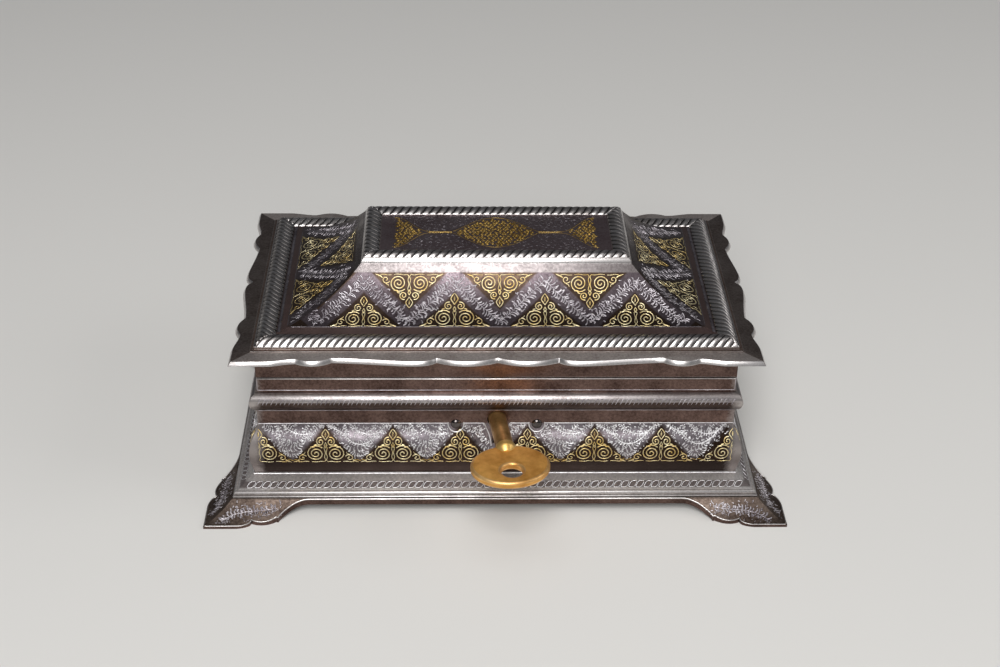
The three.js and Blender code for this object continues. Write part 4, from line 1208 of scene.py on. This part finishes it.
    lay(f"gold_on_wall_{side}", gold_lines, spot, turn, "base", gold, GOLD)
    lay(f"silver_on_wall_{side}", silver_lines, spot, turn, "base", silver, SILVER)
    lay(f"foot_line_on_wall_{side}", dim_lines_wall, spot, turn, "base", dim_gold, 0.14)
    lay(f"foot_line_on_slope_{side}", dim_lines, on_slope(across, run), turn, "lid", worn_silver, 0.14)

    # Half-round moulding: leaning strokes with a hook, under its bright top.
    lines = []
    count = int((along + 0.4) / 1.12)
    chance = random.Random(number + 40)
    for i in range(-count, count + 1):
        u = i * 1.12 + chance.uniform(-0.12, 0.12)
        lines.append([(u - 0.42, -0.1, 0.4), (u - 0.2, 0.3, 0.9), (u + 0.05, 0.75, 1), (u + 0.3, 1.15, 0.9), (u + 0.6, 1.25, 0.8), (u + 0.75, 1.05, 0.4)])
    lay(f"silver_on_half_round_{side}", lines, on_torus(across), turn, "base", silver_fine, 0.15)

    if not long:
        # The ends of the lid: pale lines on the ridge at the foot of the slope and on the bar's outer edge, worn steel
        # painted paler as the highlights these edges catch.
        ends = hip(0.35) - 0.3
        lay(f"ridge_on_slope_{side}", [[(-ends, 0.35, 1.0), (ends, 0.35, 1.0)]], on_slope(across, run), turn, "lid", worn_silver, 0.38)
        ends = along - 0.3
        lay(
            f"bright_edge_of_rope_{side}", [[(-ends, 0.12, 1.0), (ends, 0.12, 1.0)]],
            lambda u, v, lift: (u, -(across - v), FLANGE_TOP + 0.77 + lift), turn, "lid", worn_and_highlight, 0.15, 0.9,
        )

    # Rim: a fine line at the foot of the plain band and up at its ends.
    ends = along - 0.25
    rim_lines = [[(-ends, 32.7, 1.0), (ends, 32.7, 1.0)]] + [[(s * ends, 32.7, 1.0), (s * ends, 35.8, 1.0)] for s in (-1, 1)]
    lay(f"silver_on_rim_{side}", rim_lines, on_rim(across), turn, "base", silver_fine, 0.12)
    # A fine pale thread along the wall's top edge under the half-round: painted highlight of that edge.
    lay(f"highlight_line_under_half_round_{side}", [[(-ends, 26.8, 1.0), (ends, 26.8, 1.0)]], on_wall(across), turn, "base", silver_fine, 0.09)

    # Bevel of the base: a chain of leaning links, and bare steel along its top edge.
    lines = [[(-along - 1.9, 0.12, 1.6), (along + 1.9, 0.12, 1.6)]]
    reach = along + 3.4
    count = int(reach / 1.95)
    for i in range(-count, count + 1):
        link = [(-1.0, 4.0), (-0.1, 4.05), (0.45, 3.7), (1.0, 2.75), (0.9, 2.4), (0.05, 2.35), (-0.5, 2.65), (-1.1, 3.65), (-1.0, 4.0)]
        shift = i * 1.95 + chance.uniform(-0.08, 0.08)
        lines.append([(shift + du, v + chance.uniform(-0.05, 0.05), 0.85) for du, v in link])
    lay(f"silver_on_bevel_{side}", lines, on_bevel(across), turn, "base", silver, SILVER)

    # Feet: a fern that grows from the inner cusp towards the toe.
    lines = []
    for s in (-1, 1):
        stem = through([(along - 4.5, 9.2), (along - 0.5, 9.7), (along + 3.5, 10.0), (along + 7.0, 10.8), (along + 9.6, 12.4)], 5)
        stem = [(s * u, v) for u, v in stem]
        lines += sprig(stem, {s: (1.1, 1.2), -s: (1.35, 1.45)}, 0.85, 1.55, 0.6, number * 5 + s, 0.5, curl=1.0)
        lines += [
            [(s * u, v, r) for u, v, r in line]
            for line in strewn(
                random.Random(number * 5 + s + 60), 150, (along - 5.5, along + 11.0), (8.0, 13.2), 0.6, 0.9,
                lambda u, v: v < 11.3 + 0.22 * max(0.0, u - along) and u - along < v - 1.6,
            )
        ]
    lay(f"silver_on_feet_{side}", lines, on_flare(across), turn, "base", silver_fine, SILVER)

    # The lower edge of the skirt: a pale line all along, for its burnish and as a painted highlight.
    rim = [(x, min(-y - across - 0.12, 13.8), 1.0) for x, y in foot_gap(along, across)[1:-1]]
    toes = [[(s * (along + 8.7), 13.8, 1.0), (s * (along + 13.6), 13.8, 1.0)] for s in (-1, 1)]
    lay(f"bright_edge_of_skirt_{side}", [rim] + toes, on_flare(across), turn, "base", worn_and_highlight, 0.17, 0.8)


# Platform: a pointed oval and two half ones filled with small gold scrolls.


def oval_half(u):
    """Half width of the gold fields at a place along the platform."""
    a = abs(u)
    if a < 11.3:
        return 7.7 * (math.cos(math.pi * a / 22.6)) ** 1.15
    if a > 17.2:
        return min(7.7, 7.7 * (1 - math.cos(math.pi * min(a - 17.2, 9.0) / 9.0)) / 2 + 0.2)
    return 0.0


gold_lines = []
for s in (-1, 1):
    gold_lines.append([(u * 0.5, s * (oval_half(u * 0.5) + 0.25), 0.9) for u in range(-22, 23)])
    for t in (-1, 1):
        gold_lines.append([(t * (17.2 + 9.0 * i / 16), s * (oval_half(17.2 + 9.0 * i / 16) + 0.25), 0.9) for i in range(17)])
        gold_lines.append([(t * 11.2, s * 0.3, 0.9), (t * 14.2, s * 0.22, 0.8), (t * 17.3, s * 0.3, 0.9)])
chance = random.Random(5)
for row in range(-7, 8):
    for column in range(-24, 25):
        u = (column + 0.5 * (row % 2)) * 1.08 + chance.uniform(-0.22, 0.22)
        v = row * 1.02 + chance.uniform(-0.2, 0.2)
        if abs(u) > 25.8 or abs(v) > oval_half(u) - 0.5:
            continue
        gold_lines.append(spiral(
            u, v, chance.uniform(0.38, 0.6), 1.2, chance.uniform(0, 6.28), chance.choice((-1, 1)), 0.2, 1.25,
        ))
lay("gold_on_platform", gold_lines, flat_at(PLATFORM_TOP), 0, "lid", dim_gold, 0.13)

silver_lines = []
for row in range(-9, 10):
    for column in range(-30, 31):
        u = column * 0.95 + 0.45 * (row % 2) + chance.uniform(-0.12, 0.12)
        v = row * 0.95 + chance.uniform(-0.12, 0.12)
        if abs(u) > 28.6 or abs(v) > 8.8 or abs(v) < oval_half(u) + 0.9 or (26.2 < abs(u) < 27.2):
            continue
        silver_lines.append(leaf(u, v, chance.uniform(0, 6.28), 0.85, 0.8, chance.choice((-1.1, 1.1))))
lay("silver_on_platform", silver_lines, flat_at(PLATFORM_TOP), 0, "lid", worn_silver, 0.1)


# Lock rivets: low domes bedded on the wall.

for name, x in (("left", -RIVET_X), ("right", RIVET_X)):
    deselect()
    bpy.ops.mesh.primitive_uv_sphere_add(segments=40, ring_count=24, radius=1.4 * MM, location=(0, 0, 0))
    dome = bpy.context.object
    dome.name = f"rivet_dome_{name}"
    for vertex in dome.data.vertices:
        vertex.co = Vector((vertex.co.x, vertex.co.y * 0.8 / 1.3, vertex.co.z))
        vertex.co += Vector((x, -(ACROSS + BAND_OUT) + 0.12, RIVET_Z)) * MM
    trim(dome, [((0, -(ACROSS + BAND_OUT) + 0.35, 0), (0, 1, 0))])
    paint(dome, rivet_steel)
    ease(dome, 0)
    settle(dome, 0, "base", f"lock_rivet_{name}", slot="worn_steel")


# Key


def turned_bar(name, profile, steps=56):
    """A turned shape about Y from places along it and radii, in mm."""
    piece = outline(name, [(radius, y, 0) for y, radius in profile])
    pick(piece)
    bpy.ops.object.mode_set(mode="EDIT")
    bpy.ops.mesh.select_all(action="SELECT")
    bpy.ops.mesh.delete(type="ONLY_FACE")
    bpy.ops.mesh.select_all(action="SELECT")
    bpy.ops.mesh.spin(steps=steps, angle=2 * math.pi, center=(0, 0, 0), axis=(0, 1, 0))
    bpy.ops.mesh.select_all(action="SELECT")
    bpy.ops.mesh.remove_doubles(threshold=1e-6)
    bpy.ops.mesh.delete_loose()
    bpy.ops.mesh.select_all(action="SELECT")
    bpy.ops.mesh.normals_make_consistent(inside=False)
    bpy.ops.object.mode_set(mode="OBJECT")
    return piece


# The key is drawn along Y from the wall, then leaned and lifted to its hole.
BOW, TIP, NOSE = -21.1, 6.2, 6.9
shank = turned_bar("brass_key", [
    (-15.9, 0), (-15.9, 1.3), (-15.5, 1.8), (-15.0, 2.2), (-14.75, 2.42), (-14.4, 2.55), (-13.3, 2.55),
    (-13.05, 2.48), (-12.9, 2.36), (-12.8, 2.28), (TIP, 2.28), (TIP + 0.15, 2.1), (TIP + 0.15, 1.2), (NOSE, 1.2), (NOSE, 0),
])
bow = outline("bow", [
    (9.75 * math.cos(i * math.pi / 40), BOW + 7.9 * math.sin(i * math.pi / 40), -1.0) for i in range(80)
])
extrude(bow, (0, 0, 2.0))
hole = [(2.62 * math.cos(i * math.pi / 24), BOW - 2.6 + 2.62 * math.sin(i * math.pi / 24), -2) for i in range(48)]
carve(bow, prism(hole, (0, 0, 4)))
# The bow's rim takes the paler brass: wear and painted highlight.
paint(bow, brass, brass_rim)
ease(bow, 0.72, segments=6, angle=50)
bit = extrude(outline("bit", [(-5.7, 1.6, -0.65), (0, 1.6, -0.65), (0, 4.2, -0.65), (-5.7, 4.2, -0.65)]), (0, 0, 1.3))
paint(bit, brass)
ease(bit, 0.12)
paint(shank, brass_shank, brass_collar)
ease(shank, 0)
wear(shank, lambda c, n: c.y < -12.85)
pick(shank)
bow.select_set(True)
bit.select_set(True)
bpy.ops.object.join()
KEY_WALL = -(ACROSS + BAND_OUT - 0.7)
key = bpy.context.object
key.rotation_euler = (0, 0, math.radians(KEY_LEAN))
key.location = Vector((KEY_X, KEY_WALL, KEY_Z)) * MM
bpy.ops.object.transform_apply(location=True, rotation=True, scale=True)
settle(key, 0, "key", "key", slot="brass")


# Lock and hinge work: copies of the solids, merged, with their edges eased.

for name, body, finish in [
    ("bottom_plate", "base", lock_steel), ("lock_plate", "base", lock_steel), ("lock_cap", "base", lock_steel),
    ("bolt", "bolt", brass), ("bolt_spring", "base", worn_and_highlight), ("lid_staple", "lid", lock_steel),
    ("hinge_leaf_base_left", "base", lock_steel), ("hinge_leaf_base_right", "base", lock_steel),
    ("hinge_leaf_lid_left", "lid", lock_steel), ("hinge_leaf_lid_right", "lid", lock_steel),
    ("hinge_pin_left", "base", worn_and_highlight), ("hinge_pin_right", "base", worn_and_highlight),
]:
    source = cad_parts[name]
    piece = bpy.data.objects.new(f"filed_{name}", source.data.copy())
    scene.collection.objects.link(piece)
    pick(piece)
    bpy.ops.object.mode_set(mode="EDIT")
    bpy.ops.mesh.select_all(action="SELECT")
    bpy.ops.mesh.remove_doubles(threshold=1e-6)
    bpy.ops.mesh.dissolve_limited(angle_limit=math.radians(1))
    bpy.ops.object.mode_set(mode="OBJECT")
    paint(piece, finish, worn_and_highlight)
    ease(piece, 0.07)
    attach(piece, body)
    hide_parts(name)


# Velvet lining: a crowned floor pad and four covered boards.

pads = []
deselect()
bpy.ops.mesh.primitive_cube_add(size=1, location=(0, 0, 0))
pad = bpy.context.object
pad.name = "velvet_floor_pad"
low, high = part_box("lining_floor")
pick(pad)
bpy.ops.object.mode_set(mode="EDIT")
bpy.ops.mesh.select_all(action="SELECT")
bpy.ops.mesh.subdivide(number_cuts=29)
bpy.ops.object.mode_set(mode="OBJECT")
for vertex in pad.data.vertices:
    u, v, w = vertex.co
    edge = min(0.5 - abs(u), 0.5 - abs(v))
    soft = 1 - math.exp(-edge * 26)
    crown = (math.cos(math.pi * u) * math.cos(math.pi * v)) ** 0.35 if edge > 1e-6 else 0.0
    size = high - low
    pull = 0.0009 * math.cos(math.pi * u) * math.cos(math.pi * v)
    x = u * (size.x - 0.0006) + 0.0006 * math.copysign(1, u) * (crown - 1) * (0.5 - abs(v))
    y = v * (size.y - 0.0006)
    bulge = 1 - 0.45 * (1 - soft) if w > 0 else 1.0
    z = low.z + (w + 0.5) * (size.z * (0.62 + 0.38 * soft)) + (pull if w > 0.49 else 0) * 0.7
    vertex.co = Vector(((low.x + high.x) / 2 + x, (low.y + high.y) / 2 + y, z))
paint(pad, velvet)
ease(pad, 0)
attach(pad, "base")
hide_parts("lining_floor")

for side in ("front", "right", "back", "left"):
    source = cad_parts[f"lining_{side}"]
    board = bpy.data.objects.new(f"velvet_board_{side}", source.data.copy())
    scene.collection.objects.link(board)
    pick(board)
    bpy.ops.object.mode_set(mode="EDIT")
    bpy.ops.mesh.select_all(action="SELECT")
    bpy.ops.mesh.remove_doubles(threshold=1e-6)
    bpy.ops.mesh.dissolve_limited(angle_limit=math.radians(1))
    bpy.ops.object.mode_set(mode="OBJECT")
    paint(board, velvet)
    ease(board, 0.55, segments=4)
    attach(board, "base")
    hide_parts(f"lining_{side}")


# Floor and light

deselect()
bpy.ops.mesh.primitive_plane_add(size=8.0, location=(0, 0, 0))
ground = bpy.context.object
ground.name = "floor"
material, tree, shader = blank("matt_pale_floor")
shader.inputs["Base Color"].default_value = linear("#d9d7d3")
shader.inputs["Roughness"].default_value = 0.9
shader.inputs["Specular IOR Level"].default_value = 0.2
paint(ground, material)


def softbox(name, place, aim, size, power, tint="#ffffff"):
    """A square of soft light, aimed at a place on the box, in metres."""
    lamp = bpy.data.lights.new(name, "AREA")
    lamp.shape = "RECTANGLE"
    lamp.size, lamp.size_y = size
    lamp.energy = power
    lamp.color = linear(tint)[:3]
    held = bpy.data.objects.new(name, lamp)
    held.location = place
    held.rotation_euler = (Vector(aim) - Vector(place)).to_track_quat("-Z", "Y").to_euler()
    scene.collection.objects.link(held)


softbox("softbox_front", (-0.09, -0.87, 0.89), (0, 0, 0.03), (0.5, 0.84), 15.0)
softbox("softbox_right", (0.95, -0.2, 0.6), (0, 0, 0.03), (0.6, 0.6), 2.2)
softbox("softbox_above", (-0.05, -0.12, 1.2), (0, 0, 0.03), (0.9, 0.6), 1.8)

world = bpy.data.worlds.new("studio")
scene.world = world
world.use_nodes = True
world.node_tree.nodes.clear()
sky = add(world.node_tree, "ShaderNodeBackground", {"Color": linear("#c9ccd2"), "Strength": 0.15})
add(world.node_tree, "ShaderNodeOutputWorld", {"Surface": sky.outputs["Background"]})

scene.view_settings.view_transform = "Standard"
